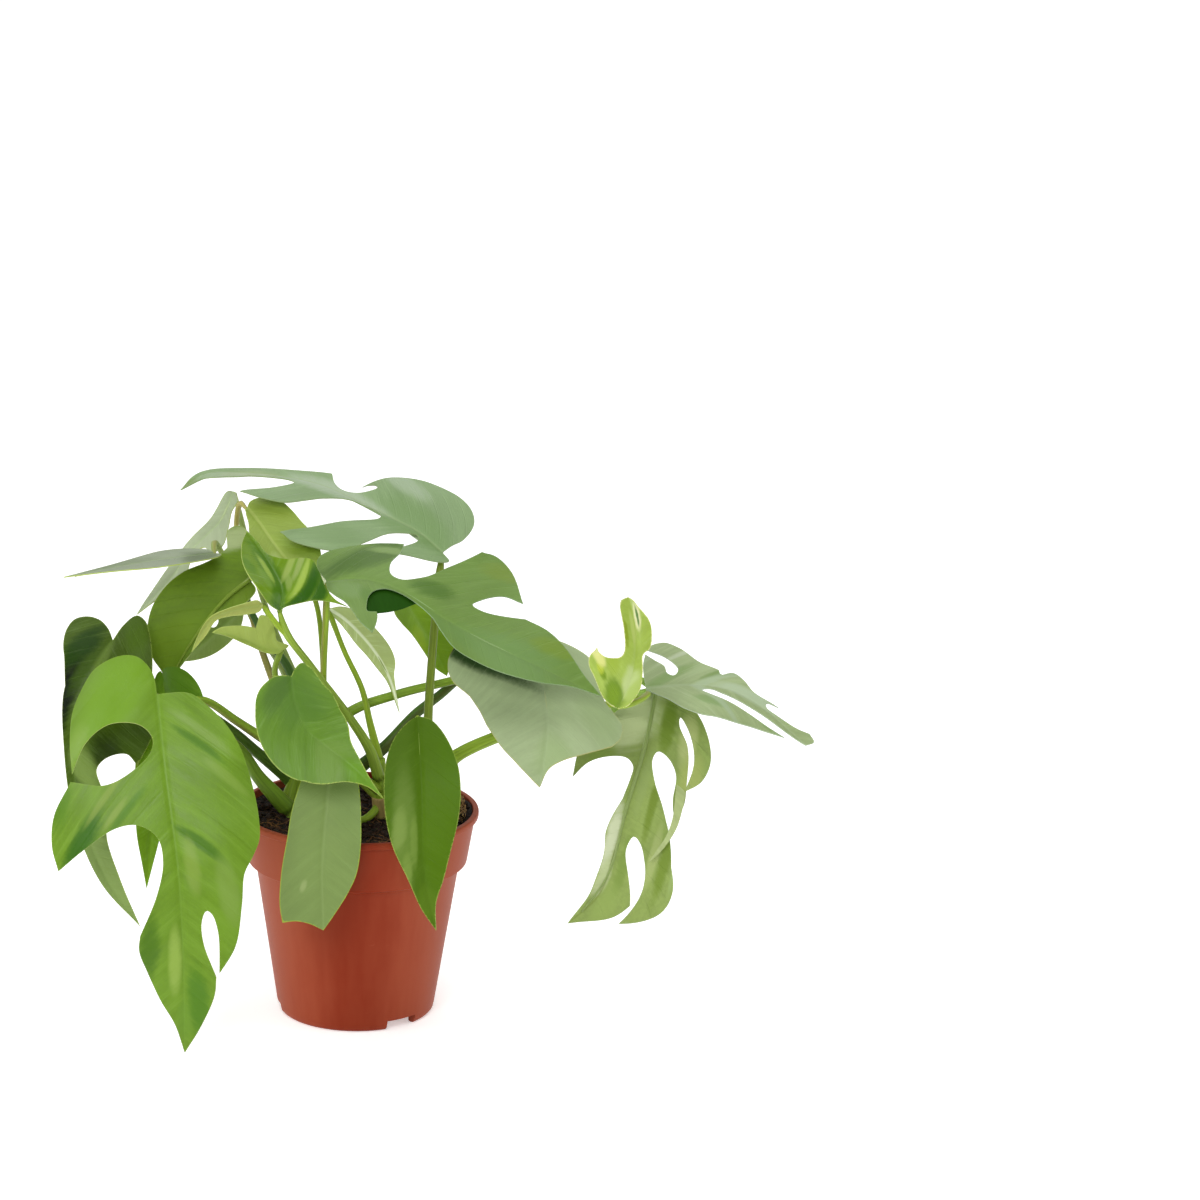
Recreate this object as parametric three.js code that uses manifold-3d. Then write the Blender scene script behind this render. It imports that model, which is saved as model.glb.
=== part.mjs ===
// Mini monstera (Rhaphidophora tetrasperma) in a plastic nursery pot.
// Millimetres, +Z up, origin at the middle of the pot's underside, front of the plant towards -Y.
import * as THREE from 'three';
import { mergeVertices } from 'three/addons/utils/BufferGeometryUtils.js';
import Module from 'manifold-3d';

const wasm = await Module();
wasm.setup();

// ---------------------------------------------------------------- driving dimensions
const GAP = 0.3; // between pieces that touch
const POT = {
  height: 105,
  rimRadius: 60, // outside of the rolled lip
  bandTopRadius: 58.2, // just under the lip
  bandFootRadius: 54.6, // foot of the collar
  bodyTopRadius: 50.6, // under the collar
  bodyFootRadius: 39.5,
  bandHeight: 26,
  lipHeight: 3.5,
  wall: 1.2,
  floorUnder: 5.5, // underside of the raised floor
  footWidth: 5.5,
  footFillet: 4,
  footRise: 1.4,
  underBand: 2, // drop of the slope under the collar
  chamfer: 0.8,
  padRadius: 9,
  drainRadius: 3.6,
  drainCircle: 21,
  drainCount: 6,
  drainSides: 14,
  notchCount: 3,
  notchSpan: THREE.MathUtils.degToRad(25),
  notchStart: THREE.MathUtils.degToRad(-54), // middle of the first notch, from +X
  segments: 48,
};
const SOIL = { level: 101.5, dome: -3, bump: 1.2, segments: 32, rings: 4 };
const BLADE = { thickness: 0.8, outlineStep: 10, cellAlong: 22, cellAcross: 17, snap: 1 };
const STEM = { sides: 9, step: 9 };
const STALK = { sides: 6, step: 14, taper: 3 };
const RIB = {
  sides: 4,
  step: 24,
  baseRadius: 1.5,
  tipRadius: 0.5,
  sink: 0.8, // share of its radius that it sits below the blade
  drop: 0.2,
  stops: [0, 0.25, 0.5, 0.75, 0.93], // shares of the midrib it is drawn through
};
const ROUGHNESS = { leaf: 0.42, stem: 0.5, pot: 0.5, soil: 0.95 };

// ---------------------------------------------------------------- small helpers
const vec = (p) => new THREE.Vector3(...p);
const through = (points) => new THREE.CatmullRomCurve3(points.map(vec), false, 'centripetal');
const noise = (x, y) =>
  Math.sin(x * 0.37 + 1.3 * Math.sin(y * 0.23)) * Math.cos(y * 0.41 + Math.sin(x * 0.19));

function solidFrom(geometry) {
  const bare = geometry.clone();
  bare.deleteAttribute('normal');
  bare.deleteAttribute('uv');
  const merged = mergeVertices(bare, 1e-3);
  return new wasm.Manifold(
    new wasm.Mesh({
      numProp: 3,
      vertProperties: merged.attributes.position.array,
      triVerts: new Uint32Array(merged.index.array),
    }),
  );
}

function geometryFrom(solid) {
  const mesh = solid.getMesh();
  const geometry = new THREE.BufferGeometry();
  geometry.setAttribute('position', new THREE.BufferAttribute(mesh.vertProperties, 3));
  geometry.setIndex(new THREE.BufferAttribute(mesh.triVerts, 1));
  geometry.computeVertexNormals();
  return geometry;
}

// The same with its faces turned outwards.
function closedSolid(geometry) {
  const solid = solidFrom(geometry);
  return solid.volume() < 0 ? solidFrom(turnedOver(geometry)) : solid;
}

function turnedOver(geometry) {
  const order = geometry.index.array;
  for (let i = 0; i < order.length; i += 3) [order[i], order[i + 1]] = [order[i + 1], order[i]];
  return geometry;
}

const largestBody = (solid) =>
  solid.decompose().reduce((best, body) => (body.volume() > best.volume() ? body : best));

// ---------------------------------------------------------------- stalks
// A closed cylinder bent along a curve; radiusAt(t) gives its radius from start (0) to end (1).
function bentCylinder(curve, radiusAt, sides, step) {
  const rings = Math.max(2, Math.round(curve.getLength() / step));
  const frames = curve.computeFrenetFrames(rings, false);
  const geometry = new THREE.CylinderGeometry(1, 1, 1, sides, rings);
  const place = geometry.attributes.position;
  for (let i = 0; i < place.count; i++) {
    const t = place.getY(i) + 0.5;
    const ring = Math.round(t * rings);
    const radius = radiusAt(t);
    const spot = curve
      .getPointAt(t)
      .addScaledVector(frames.binormals[ring], place.getX(i) * radius)
      .addScaledVector(frames.normals[ring], place.getZ(i) * radius);
    place.setXYZ(i, spot.x, spot.y, spot.z);
  }
  return closedSolid(geometry);
}

// ---------------------------------------------------------------- leaf blades
// The blade is drawn flat, as distance along the midrib and distance across it, and then laid on a
// surface: the midrib follows a curve, each half rises by its fold angle and bends by its arch.
function bladeSurface({ rib, face, fold, arch }) {
  const curve = through(rib);
  const length = curve.getLength();
  const facing = (face.length === 1 ? [...face, ...face] : face).map(vec);
  const frameAt = (u) => {
    const t = THREE.MathUtils.clamp(u, 0, 1);
    const along = curve.getTangentAt(t);
    const spot = curve.getPointAt(t).addScaledVector(along, (u - t) * length);
    const stretch = t * (facing.length - 1);
    const k = Math.min(Math.floor(stretch), facing.length - 2);
    const look = facing[k].clone().lerp(facing[k + 1], stretch - k);
    const up = look.addScaledVector(along, -look.dot(along)).normalize();
    return { spot, up, right: new THREE.Vector3().crossVectors(up, along) };
  };
  const at = (along, across) => {
    const { spot, up, right } = frameAt(along / length);
    const side = across < 0 ? 0 : 1;
    const reach = Math.abs(across);
    const rise = THREE.MathUtils.degToRad(fold[side]);
    const bend = arch[side];
    const out = (Math.sin(rise) - Math.sin(rise - bend * reach)) / bend;
    const lift = (Math.cos(rise - bend * reach) - Math.cos(rise)) / bend;
    return spot.addScaledVector(right, Math.sign(across) * out).addScaledVector(up, lift);
  };
  const normalAt = (along, across) => {
    const d = 0.5;
    const a = at(along + d, across).sub(at(along - d, across));
    const b = at(along, across + d).sub(at(along, across - d));
    return b.cross(a).negate().normalize();
  };
  return { length, at, normalAt, frameAt };
}

// One side's margin: smooth runs that meet at corners, as [share of the midrib, mm across] pairs.
function marginPoints(runs, length, side) {
  const points = [];
  for (const run of runs) {
    const curve = new THREE.CatmullRomCurve3(
      run.map(([u, w]) => new THREE.Vector3(u * length, side * w, 0)),
      false,
      'centripetal',
    );
    const count = Math.max(2, Math.round(curve.getLength() / BLADE.outlineStep));
    for (let i = 0; i < count; i++) points.push(curve.getPointAt(i / count));
  }
  return points.map((p) => [p.x, p.y]);
}

// Cuts a flat polygon, which need not be convex, by the line where coordinate axis equals place.
function cutPolygon(polygon, axis, place) {
  const ring = [];
  polygon.forEach((a, i) => {
    const b = polygon[(i + 1) % polygon.length];
    ring.push(a);
    const [da, db] = [a[axis] - place, b[axis] - place];
    if (da * db < 0) {
      const cross = [0, 0];
      cross[axis] = place;
      cross[1 - axis] = a[1 - axis] + ((b[1 - axis] - a[1 - axis]) * da) / (da - db);
      ring.push(cross);
    }
  });
  const onLine = ring.filter((p) => p[axis] === place).sort((p, q) => p[1 - axis] - q[1 - axis]);
  let parts = [ring];
  for (let i = 0; i + 1 < onLine.length; i++) {
    const [p, q] = [onLine[i], onLine[i + 1]];
    const middle = [(p[0] + q[0]) / 2, (p[1] + q[1]) / 2];
    const home = parts.findIndex((part) => part.includes(p) && part.includes(q));
    if (home < 0 || !inside(parts[home], middle)) continue;
    const part = parts[home];
    const [i1, i2] = [part.indexOf(p), part.indexOf(q)].sort((m, n) => m - n);
    if (i2 - i1 < 2 || part.length - (i2 - i1) < 2) continue;
    const first = part.slice(i1, i2 + 1);
    const second = [...part.slice(i2), ...part.slice(0, i1 + 1)];
    parts.splice(home, 1, first, second);
  }
  return parts.filter((part) => part.length > 2);
}

function inside(polygon, [x, y]) {
  let found = false;
  polygon.forEach(([ax, ay], i) => {
    const [bx, by] = polygon[(i + 1) % polygon.length];
    if (ay > y !== by > y && x < ((bx - ax) * (y - ay)) / (by - ay) + ax) found = !found;
  });
  return found;
}

// The flat blade's corners and triangles, cut into cells so that it can bend.
function flatBlade(outline) {
  const spread = (axis) => outline.map((p) => p[axis]);
  const lines = [BLADE.cellAlong, BLADE.cellAcross].map((cell, axis) => {
    const low = Math.ceil(Math.min(...spread(axis)) / cell);
    const high = Math.floor(Math.max(...spread(axis)) / cell);
    return Array.from({ length: Math.max(0, high - low + 1) }, (_, i) => (low + i) * cell);
  });
  let cells = [outline.map((p) => p.map((value, axis) => {
    const near = lines[axis].find((line) => Math.abs(line - value) < BLADE.snap);
    return near === undefined ? value : near;
  }))];
  lines.forEach((places, axis) => {
    for (const place of places) cells = cells.flatMap((cell) => cutPolygon(cell, axis, place));
  });
  const corners = [];
  const known = new Map();
  const number = (p) => {
    const key = p.map((value) => Math.round(value * 1e3)).join();
    if (!known.has(key)) known.set(key, corners.push(p) - 1);
    return known.get(key);
  };
  const triangles = [];
  for (const cell of cells) {
    const flat = cell.map(([x, y]) => new THREE.Vector2(x, y));
    if (Math.abs(THREE.ShapeUtils.area(flat)) < 1e-3) continue;
    const order = THREE.ShapeUtils.isClockWise(flat) ? cell.slice().reverse() : cell;
    const contour = order.map(([x, y]) => new THREE.Vector2(x, y));
    for (const face of THREE.ShapeUtils.triangulateShape(contour, [])) {
      const three = face.map((i) => number(order[i]));
      if (new Set(three).size === 3) triangles.push(three);
    }
  }
  return { corners, triangles };
}

function bladeSolid(surface, spec) {
  const right = marginPoints(spec.right, surface.length, 1);
  const left = marginPoints(spec.left, surface.length, -1);
  const outline = [...right, [surface.length, 0], ...left.slice(1).reverse()];
  const { corners, triangles } = flatBlade(outline);
  const places = [];
  for (const half of [0.5, -0.5]) {
    for (const [along, across] of corners) {
      const spot = surface.at(along, across);
      const normal = surface.normalAt(along, across);
      places.push(...spot.addScaledVector(normal, half * BLADE.thickness).toArray());
    }
  }
  const n = corners.length;
  const faces = [];
  const open = new Map();
  for (const [a, b, c] of triangles) {
    faces.push(a, b, c, a + n, c + n, b + n);
    for (const [p, q] of [[a, b], [b, c], [c, a]]) {
      if (!open.delete(`${q},${p}`)) open.set(`${p},${q}`, [p, q]);
    }
  }
  for (const [p, q] of open.values()) faces.push(q, p, p + n, q, p + n, q + n);
  const geometry = new THREE.BufferGeometry();
  geometry.setAttribute('position', new THREE.Float32BufferAttribute(places, 3));
  geometry.setIndex(faces);
  return closedSolid(geometry);
}

// A leaf: its blade, the raised midrib under it and the petiole down to the stem, in one body.
function leafSolid(spec) {
  const surface = bladeSurface(spec);
  const ribRadius = (t) => THREE.MathUtils.lerp(RIB.baseRadius, RIB.tipRadius, t);
  const underRib = RIB.stops.map((u) => {
    const { spot, up } = surface.frameAt(u);
    return spot.addScaledVector(up, -RIB.sink * ribRadius(u) - RIB.drop);
  });
  const ribCurve = new THREE.CatmullRomCurve3(underRib, false, 'centripetal');
  return bladeSolid(surface, spec)
    .add(bentCylinder(ribCurve, ribRadius, RIB.sides, RIB.step))
    .add(petioleSolid(spec, underRib[0]));
}

function petioleSolid({ petiole, stalk: [thick, thin] }, end, grow = 0) {
  const curve = new THREE.CatmullRomCurve3([...petiole.map(vec), end], false, 'centripetal');
  const radiusAt = (t) => thin + (thick - thin) * (1 - t) ** STALK.taper + grow;
  return bentCylinder(curve, radiusAt, STALK.sides, STALK.step);
}

// ---------------------------------------------------------------- the leaves, from the front left round
// Left and right are as seen facing a leaf whose tip hangs down.
const LEAVES = {
  leaf_front_left: {
    rib: [[-97, -45, 175], [-92, -66, 144], [-85, -84, 100], [-82, -93, 59], [-81, -99, 13]],
    face: [[0.05, -0.8, 0.6], [0, -1, 0.25]],
    fold: [6, 10],
    arch: [0.006, 0.009],
    right: [
      [[0, 0], [0.01, 16], [0.05, 23.5], [0.11, 31], [0.19, 37], [0.28, 39.9], [0.38, 41], [0.44, 40],
        [0.48, 36], [0.52, 31.3], [0.6, 29], [0.71, 25], [0.78, 17]],
      [[0.78, 17], [0.67, 17], [0.62, 14.5], [0.61, 12], [0.64, 9.5], [0.7, 10], [0.79, 15.5]],
      [[0.79, 15.5], [0.84, 14.5], [0.93, 7.5], [1, 0]],
    ],
    left: [
      [[0, 0], [-0.06, 1], [-0.11, 7], [-0.12, 15], [-0.09, 28], [-0.03, 36], [0.03, 41], [0.11, 43.5],
        [0.2, 44]],
      [[0.2, 44], [0.12, 36], [0.075, 24], [0.085, 10], [0.125, 4.5], [0.165, 6], [0.21, 15],
        [0.24, 29], [0.22, 45]],
      [[0.22, 45], [0.3, 55], [0.38, 58], [0.46, 56.5]],
      [[0.46, 56.5], [0.41, 44], [0.36, 27], [0.36, 16], [0.4, 8], [0.47, 6.7], [0.56, 11], [0.67, 20]],
      [[0.67, 20], [0.71, 20.7], [0.77, 17.3], [0.85, 11.4], [0.92, 4.5], [1, 0]],
    ],
    petiole: [[-35, 2, 103], [-41, 1, 110], [-50, 2, 120], [-57, 0, 132], [-66, -10, 144], [-91, -38, 168]],
    stalk: [5, 2],
    tint: 'fresh',
  },
  leaf_left_dark: {
    rib: [[-121, -2, 190], [-128, -12, 180], [-136, -20, 164], [-139, -26, 143], [-135, -32, 112],
      [-122, -36, 78], [-106, -36, 54]],
    face: [[-0.1, -0.7, 0.7], [-0.2, -0.9, 0.3], [0, -1, 0.1]],
    fold: [0, 6],
    arch: [0.004, 0.006],
    right: [
      [[0, 0], [-0.06, 0.5], [-0.11, 4], [-0.1, 10], [-0.05, 17], [0.02, 24], [0.11, 31], [0.18, 36],
        [0.31, 39.5]],
      [[0.31, 39.5], [0.38, 36.5], [0.45, 32]],
      [[0.45, 32], [0.4, 27], [0.41, 18], [0.45, 12], [0.51, 13]],
      [[0.51, 13], [0.61, 12], [0.69, 8.5], [0.83, 6], [1, 0]],
    ],
    left: [
      [[0, 0], [-0.03, 5], [-0.05, 12], [-0.045, 19], [-0.02, 23.5], [0.02, 24], [0.07, 21.5],
        [0.12, 17], [0.2, 9.5]],
      [[0.2, 9.5], [0.36, 4.5], [0.6, 4], [0.8, 3.5], [1, 0]],
    ],
    petiole: [[-32, 13, 112], [-38, 13, 118], [-51, 10, 130], [-61, 4, 141], [-76, 0, 153], [-96, -2, 163],
      [-114, -2, 176]],
    stalk: [3.6, 2.2],
    tint: 'dark',
  },
  leaf_left_behind: {
    rib: [[-95, -12, 163], [-93, -19, 149], [-97, -26, 129], [-101, -30, 100], [-103, -32, 72]],
    face: [[0.2, -0.7, 0.7], [0.1, -1, 0.2]],
    fold: [10, 10],
    arch: [0.01, 0.01],
    right: [
      [[0, 0], [-0.155, 0.5], [-0.166, 3.5], [-0.163, 7], [-0.14, 11.3], [-0.1, 14.9], [-0.05, 17.4],
        [0.01, 18.7], [0.1, 18], [0.22, 15], [0.42, 12.5], [0.62, 6.5], [0.8, 3.5], [1, 0]],
    ],
    left: [[[0, 0], [-0.15, 0.5], [-0.14, 2.4], [-0.1, 4.6], [-0.04, 7.6], [0.07, 11], [0.27, 13.5],
      [0.49, 10.5], [0.71, 7], [0.85, 3.5], [1, 0]]],
    petiole: [[-29, 14, 124], [-44, 8, 135], [-60, 1, 148], [-76, -7, 161], [-86, -12, 162]],
    stalk: [3.8, 2],
    tint: 'dark',
  },
  leaf_olive: {
    rib: [[-55, 22, 215], [-65, 16, 208], [-73, 11, 200], [-84, 7, 185], [-94, 4, 167]],
    face: [[0.25, 0.8, -0.45], [0.25, 0.85, -0.4]],
    fold: [0, 0],
    arch: [0.004, 0.004],
    right: [
      [[0, 0], [-0.08, 7], [-0.18, 15.5], [-0.26, 23], [-0.23, 27], [-0.15, 28], [-0.05, 21]],
      [[-0.05, 21], [0.06, 20.5], [0.16, 22], [0.27, 26], [0.4, 28], [0.6, 27.5], [0.75, 23], [0.9, 14],
        [0.95, 7], [1, 0]],
    ],
    left: [[[0, 0], [0.02, 6], [0.1, 8], [0.21, 8], [0.32, 4.5], [0.45, 3], [0.62, 3.5], [0.8, 2],
      [1, 0]]],
    petiole: [[-30, 15, 156], [-36, 17, 172], [-49, 27, 187], [-57, 28, 205]],
    stalk: [2.8, 1.6],
    tint: 'olive',
  },
  leaf_left_level: {
    rib: [[-73, 28, 227], [-103, 6, 228], [-143, -20, 226]],
    face: [[0.05, 0.03, 1]],
    fold: [4, 4],
    arch: [0.006, 0.006],
    right: [[[0, 0], [-0.01, 5], [0.08, 11], [0.25, 14.5], [0.45, 13.5], [0.72, 8], [1, 0]]],
    left: [[[0, 0], [-0.01, 6], [0.1, 12], [0.25, 13], [0.45, 9], [0.72, 3.5], [1, 0]]],
    petiole: [[-29, 17, 149], [-37, 30, 165], [-52, 40, 186], [-64, 45, 211], [-73, 42, 229]],
    stalk: [2.8, 1.4],
    tint: 'blue',
  },
  leaf_back_left: {
    rib: [[-65, 70, 249], [-71, 62, 236], [-84, 52, 224], [-98, 46, 206], [-112, 40, 192]],
    face: [[-0.3, -0.6, 0.7], [-0.3, -0.7, 0.6]],
    fold: [14, 14],
    arch: [0.01, 0.01],
    right: [
      [[0, 0], [0.05, 5], [0.14, 4], [0.24, 8], [0.36, 14], [0.46, 12]],
      [[0.46, 12], [0.42, 6], [0.48, 3], [0.56, 5], [0.64, 9]],
      [[0.64, 9], [0.8, 4], [1, 0]],
    ],
    left: [[[0, 0], [0.01, 3], [0.13, 5], [0.3, 5], [0.5, 4.5], [0.7, 4.5], [0.9, 2], [1, 0]]],
    petiole: [[-18, 34, 108], [-26, 50, 140], [-48, 62, 190], [-60, 68, 230]],
    stalk: [2.8, 1.4],
    tint: 'pale',
  },
  leaf_top: {
    rib: [[40, 20, 231], [29, 27, 239], [14, 36, 245], [-4, 44, 252], [-19, 50, 257], [-36, 55, 260],
      [-59, 60, 261],
      [-79, 60, 260], [-91, 54, 253]],
    face: [[0, -0.35, 0.95], [0, -0.25, 1], [0, -0.1, 1]],
    fold: [4, 4],
    arch: [0.004, 0.006],
    right: [
      [[0, 0], [-0.04, 1.5], [-0.03, 6], [0.06, 18], [0.14, 27], [0.225, 38]],
      [[0.225, 38], [0.14, 25], [0.095, 14.5], [0.083, 6], [0.1, 3], [0.15, 8.5], [0.18, 14],
        [0.205, 23.5], [0.25, 39.5]],
      [[0.25, 39.5], [0.32, 46], [0.42, 50.5], [0.51, 49.5]],
      [[0.51, 49.5], [0.42, 38.5], [0.34, 22], [0.25, 6], [0.26, 2], [0.33, 1.8], [0.38, 3], [0.45, 11],
        [0.56, 26.5],
        [0.65, 28], [0.75, 25]],
      [[0.75, 25], [0.64, 16], [0.58, 5], [0.6, 3.5], [0.68, 4], [0.74, 5]],
      [[0.74, 5], [0.8, 8], [0.87, 9], [0.92, 5], [1, 0]],
    ],
    left: [
      [[0, 0], [0, 7], [-0.005, 15], [0.02, 27], [0.09, 36.5], [0.18, 40.5], [0.25, 40], [0.33, 30.5],
        [0.36, 22],
        [0.385, 6]],
      [[0.385, 6], [0.37, 14], [0.345, 17.5], [0.337, 16], [0.345, 12], [0.37, 6], [0.4, 3],
        [0.43, 2.5], [0.46, 5],
        [0.49, 12.5]],
      [[0.49, 12.5], [0.59, 8.5], [0.71, 6], [0.83, 4], [0.93, 3], [1, 0]],
    ],
    petiole: [[33, 1, 101], [34, 3, 130], [34, 4, 151], [36, 10, 189], [38, 16, 213]],
    stalk: [3.2, 2],
    tint: 'blue',
  },
  leaf_upper_bright: {
    rib: [[-57, 35, 249], [-50, 24, 243], [-44, 14, 237], [-36, 6, 229], [-28, 2, 221]],
    face: [[0.2, -0.7, 0.6], [0.3, -0.9, 0.3]],
    fold: [6, 6],
    arch: [0.004, 0.006],
    right: [[[0, 0], [-0.05, 3], [-0.05, 8], [0.09, 16], [0.25, 18], [0.43, 19], [0.73, 18], [0.92, 15],
      [1.01, 8], [1, 0]]],
    left: [[[0, 0], [0.06, 2.5], [0.2, 5], [0.34, 8], [0.5, 10], [0.67, 8], [0.84, 5.5], [1, 0]]],
    petiole: [[-30, 16, 134], [-42, 19, 161], [-52, 30, 186], [-60, 48, 214], [-63, 54, 234],
      [-61, 47, 248]],
    stalk: [2.6, 1.3],
    tint: 'lime',
  },
  leaf_middle: {
    rib: [[-39, -30, 213], [-38, -24, 222], [-43, -12, 230], [-49, -4, 237], [-56, 2, 245]],
    face: [[0.1, -0.75, 0.6], [0.1, -0.8, 0.5]],
    fold: [24, 24],
    arch: [0.004, 0.004],
    right: [[[0, 0], [0.02, 4.5], [0.05, 7.5], [0.19, 14], [0.48, 15], [0.7, 13], [0.88, 8], [1, 0]]],
    left: [
      [[0, 0], [0.04, 2], [0.08, 7], [0.12, 15], [0.12, 24], [0.1, 34]],
      [[0.1, 34], [0.14, 26], [0.2, 21], [0.27, 19.5], [0.34, 19], [0.39, 17], [0.49, 9.5], [0.57, 5],
        [0.69, 1.3], [0.85, 1], [1, 0]],
    ],
    petiole: [[10, -2, 121], [5, -6, 137], [-5, -9, 154], [-24, -20, 183], [-36, -28, 202]],
    stalk: [3.2, 1.8],
    tint: 'deep',
  },
  leaf_centre_right: {
    rib: [[-17, -20, 226], [2, -28, 229], [20, -35, 225], [38, -42, 215], [58, -48, 205], [81, -55, 196],
      [115, -64, 182]],
    face: [[0, -0.45, 0.9], [0.1, -0.6, 0.8], [0.1, -0.75, 0.7]],
    fold: [4, 6],
    arch: [0.006, 0.006],
    right: [
      [[0, 0], [-0.05, 9], [-0.06, 17], [-0.03, 22.5], [0.03, 25], [0.1, 26], [0.19, 29.4]],
      [[0.19, 29.4], [0.197, 22], [0.19, 13], [0.21, 6.5], [0.25, 6], [0.3, 13.5], [0.335, 28],
        [0.38, 47.5]],
      [[0.38, 47.5], [0.45, 50], [0.53, 46], [0.63, 29.4]],
      [[0.63, 29.4], [0.56, 28.5], [0.5, 19.5], [0.485, 15], [0.525, 14.5], [0.665, 21]],
      [[0.665, 21], [0.75, 19.5], [0.83, 14.5], [0.92, 6], [1, 0]],
    ],
    left: [
      [[0, 0], [0.02, 7], [0.055, 12], [0.1, 16.5], [0.14, 21], [0.21, 28.5], [0.275, 31.3]],
      [[0.275, 31.3], [0.27, 27.5], [0.255, 23], [0.247, 18]],
      [[0.247, 18], [0.28, 14.7], [0.305, 10], [0.325, 4]],
      [[0.325, 4], [0.375, 5], [0.44, 8], [0.52, 12], [0.6, 13], [0.7, 12.4], [0.8, 8.8], [0.9, 2.6],
        [1, 0]],
    ],
    petiole: [[11, 1, 108], [-4, 8, 122], [-17, 7, 146], [-18, -6, 172], [-17, -18, 206]],
    stalk: [2.6, 1.6],
    tint: 'blue',
  },
  leaf_right_broad: {
    rib: [[85, -24, 194], [89, -42, 178], [90, -60, 164], [86, -80, 141]],
    face: [[0, -0.75, 0.65], [0, -0.95, 0.3]],
    fold: [4, 4],
    arch: [0.002, 0.003],
    right: [
      [[0, 0], [-0.05, 6], [-0.03, 12], [0.07, 21], [0.17, 26], [0.42, 28], [0.5, 32], [0.57, 36],
        [0.63, 35.5],
        [0.68, 31.5]],
      [[0.68, 31.5], [0.74, 19], [0.8, 9], [0.87, 3], [1, 0]],
    ],
    left: [
      [[0, 0], [-0.08, 6.5], [-0.16, 20], [-0.165, 32], [-0.07, 40], [0.04, 44], [0.14, 43],
        [0.27, 37.5], [0.43, 33],
        [0.64, 28.5], [0.77, 22], [0.87, 13], [1, 0]],
    ],
    petiole: [[-29, 14, 117], [-7, 15, 148], [18, 18, 158], [43, 21, 164], [68, 4, 176], [80, -12, 189]],
    stalk: [3.4, 2],
    tint: 'blue',
  },
  leaf_front_centre: {
    rib: [[-33, -42, 184], [-31, -50, 174], [-25, -60, 163], [-13, -68, 155], [-2, -74, 148],
      [12, -78, 134]],
    face: [[-0.1, -0.8, 0.6], [-0.05, -1, 0.35]],
    fold: [6, 8],
    arch: [0.006, 0.008],
    right: [
      [[0, 0], [-0.05, 3], [-0.07, 6], [-0.04, 9], [0.05, 13.5], [0.23, 18.5], [0.5, 16.5], [0.65, 8],
        [0.82, 2.5],
        [1, 0]],
    ],
    left: [
      [[0, 0], [-0.01, 4], [-0.01, 8], [0.03, 13], [0.1, 17.5], [0.28, 22], [0.44, 23], [0.55, 20.5],
        [0.67, 15],
        [0.78, 7], [0.88, 2], [1, 0]],
    ],
    petiole: [[10, -1, 114], [-4, -10, 128], [-22, -22, 159], [-31, -36, 177]],
    stalk: [2.8, 1.5],
    tint: 'fresh',
  },
  leaf_front_low: {
    rib: [[-13, -46, 151], [-15, -60, 127], [-17, -70, 98], [-16, -76, 67]],
    face: [[0, -1, 0.3], [0, -1, 0.2]],
    fold: [4, 4],
    arch: [0.004, 0.004],
    right: [[[0, 0], [0.02, 6], [0.1, 12], [0.21, 14.5], [0.39, 17], [0.55, 18], [0.7, 16.5],
      [0.81, 12], [0.91, 6], [1, 0]]],
    left: [
      [[0, 0], [0.03, 7], [0.12, 11], [0.24, 14], [0.38, 16.5], [0.53, 17.5], [0.7, 19.5], [0.85, 20.5],
        [0.95, 19.5]],
      [[0.95, 19.5], [0.945, 13], [0.96, 7], [1, 0]],
    ],
    petiole: [[11, 1, 107], [6, -5, 102], [-1, -13, 102], [-8, -30, 120], [-12, -41, 143]],
    stalk: [2.2, 1.5],
    tint: 'under',
  },
  leaf_front_right: {
    rib: [[28, -40, 164], [30, -60, 134], [32, -74, 94], [38, -78, 68]],
    face: [[0, -0.9, 0.5], [0, -1, 0.2]],
    fold: [10, 10],
    arch: [0.008, 0.008],
    right: [[[0, 0], [0.02, 6], [0.09, 12], [0.24, 18], [0.36, 19], [0.49, 17.5], [0.62, 14], [0.77, 9],
      [0.88, 3], [1, 0]]],
    left: [[[0, 0], [0.03, 5], [0.1, 11.5], [0.2, 16], [0.33, 18], [0.47, 17.5], [0.6, 14.5], [0.75, 8],
      [0.9, 4], [1, 0]]],
    petiole: [[32, 1, 102], [32, -10, 127], [29, -34, 160]],
    stalk: [2.8, 1.6],
    tint: 'deep',
  },
  leaf_right_far: {
    rib: [[141, -6, 170], [162, -14, 174], [180, -20, 174], [196, -26, 167], [218, -36, 150]],
    face: [[0, -0.45, 0.9], [0.2, -0.5, 0.85]],
    fold: [6, 6],
    arch: [0.004, 0.004],
    left: [
      [[0, 0], [0.04, 4], [0.15, 11], [0.27, 19], [0.4, 23.5], [0.58, 22], [0.75, 15], [0.89, 6.5]],
      [[0.89, 6.5], [0.75, 9.5], [0.58, 10], [0.42, 8], [0.33, 4], [0.38, 3], [0.46, 5], [0.62, 5.5],
        [0.78, 4],
        [0.92, 2], [1, 0]],
    ],
    right: [
      [[0, 0], [-0.03, 9], [-0.05, 17], [-0.055, 24.5]],
      [[-0.055, 24.5], [0.02, 18.5], [0.085, 13.5], [0.11, 8.5], [0.155, 6.5], [0.17, 10], [0.07, 20.5],
        [-0.05, 27.5]],
      [[-0.05, 27.5], [-0.03, 31], [0.04, 32], [0.15, 26], [0.27, 16], [0.39, 11]],
      [[0.39, 11], [0.41, 8], [0.46, 11], [0.52, 9], [0.6, 5], [0.75, 6]],
      [[0.75, 6], [0.69, 3.5], [0.7, 1.5], [0.8, 2], [0.9, 4], [0.97, 7]],
      [[0.97, 7], [1.02, 5], [1, 0]],
    ],
    petiole: [[92, -12, 153], [104, -15, 150], [119, -9, 155], [134, -5, 165]],
    stalk: [2.2, 1.6],
    tint: 'pale',
  },
  leaf_right_hanging: {
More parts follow.
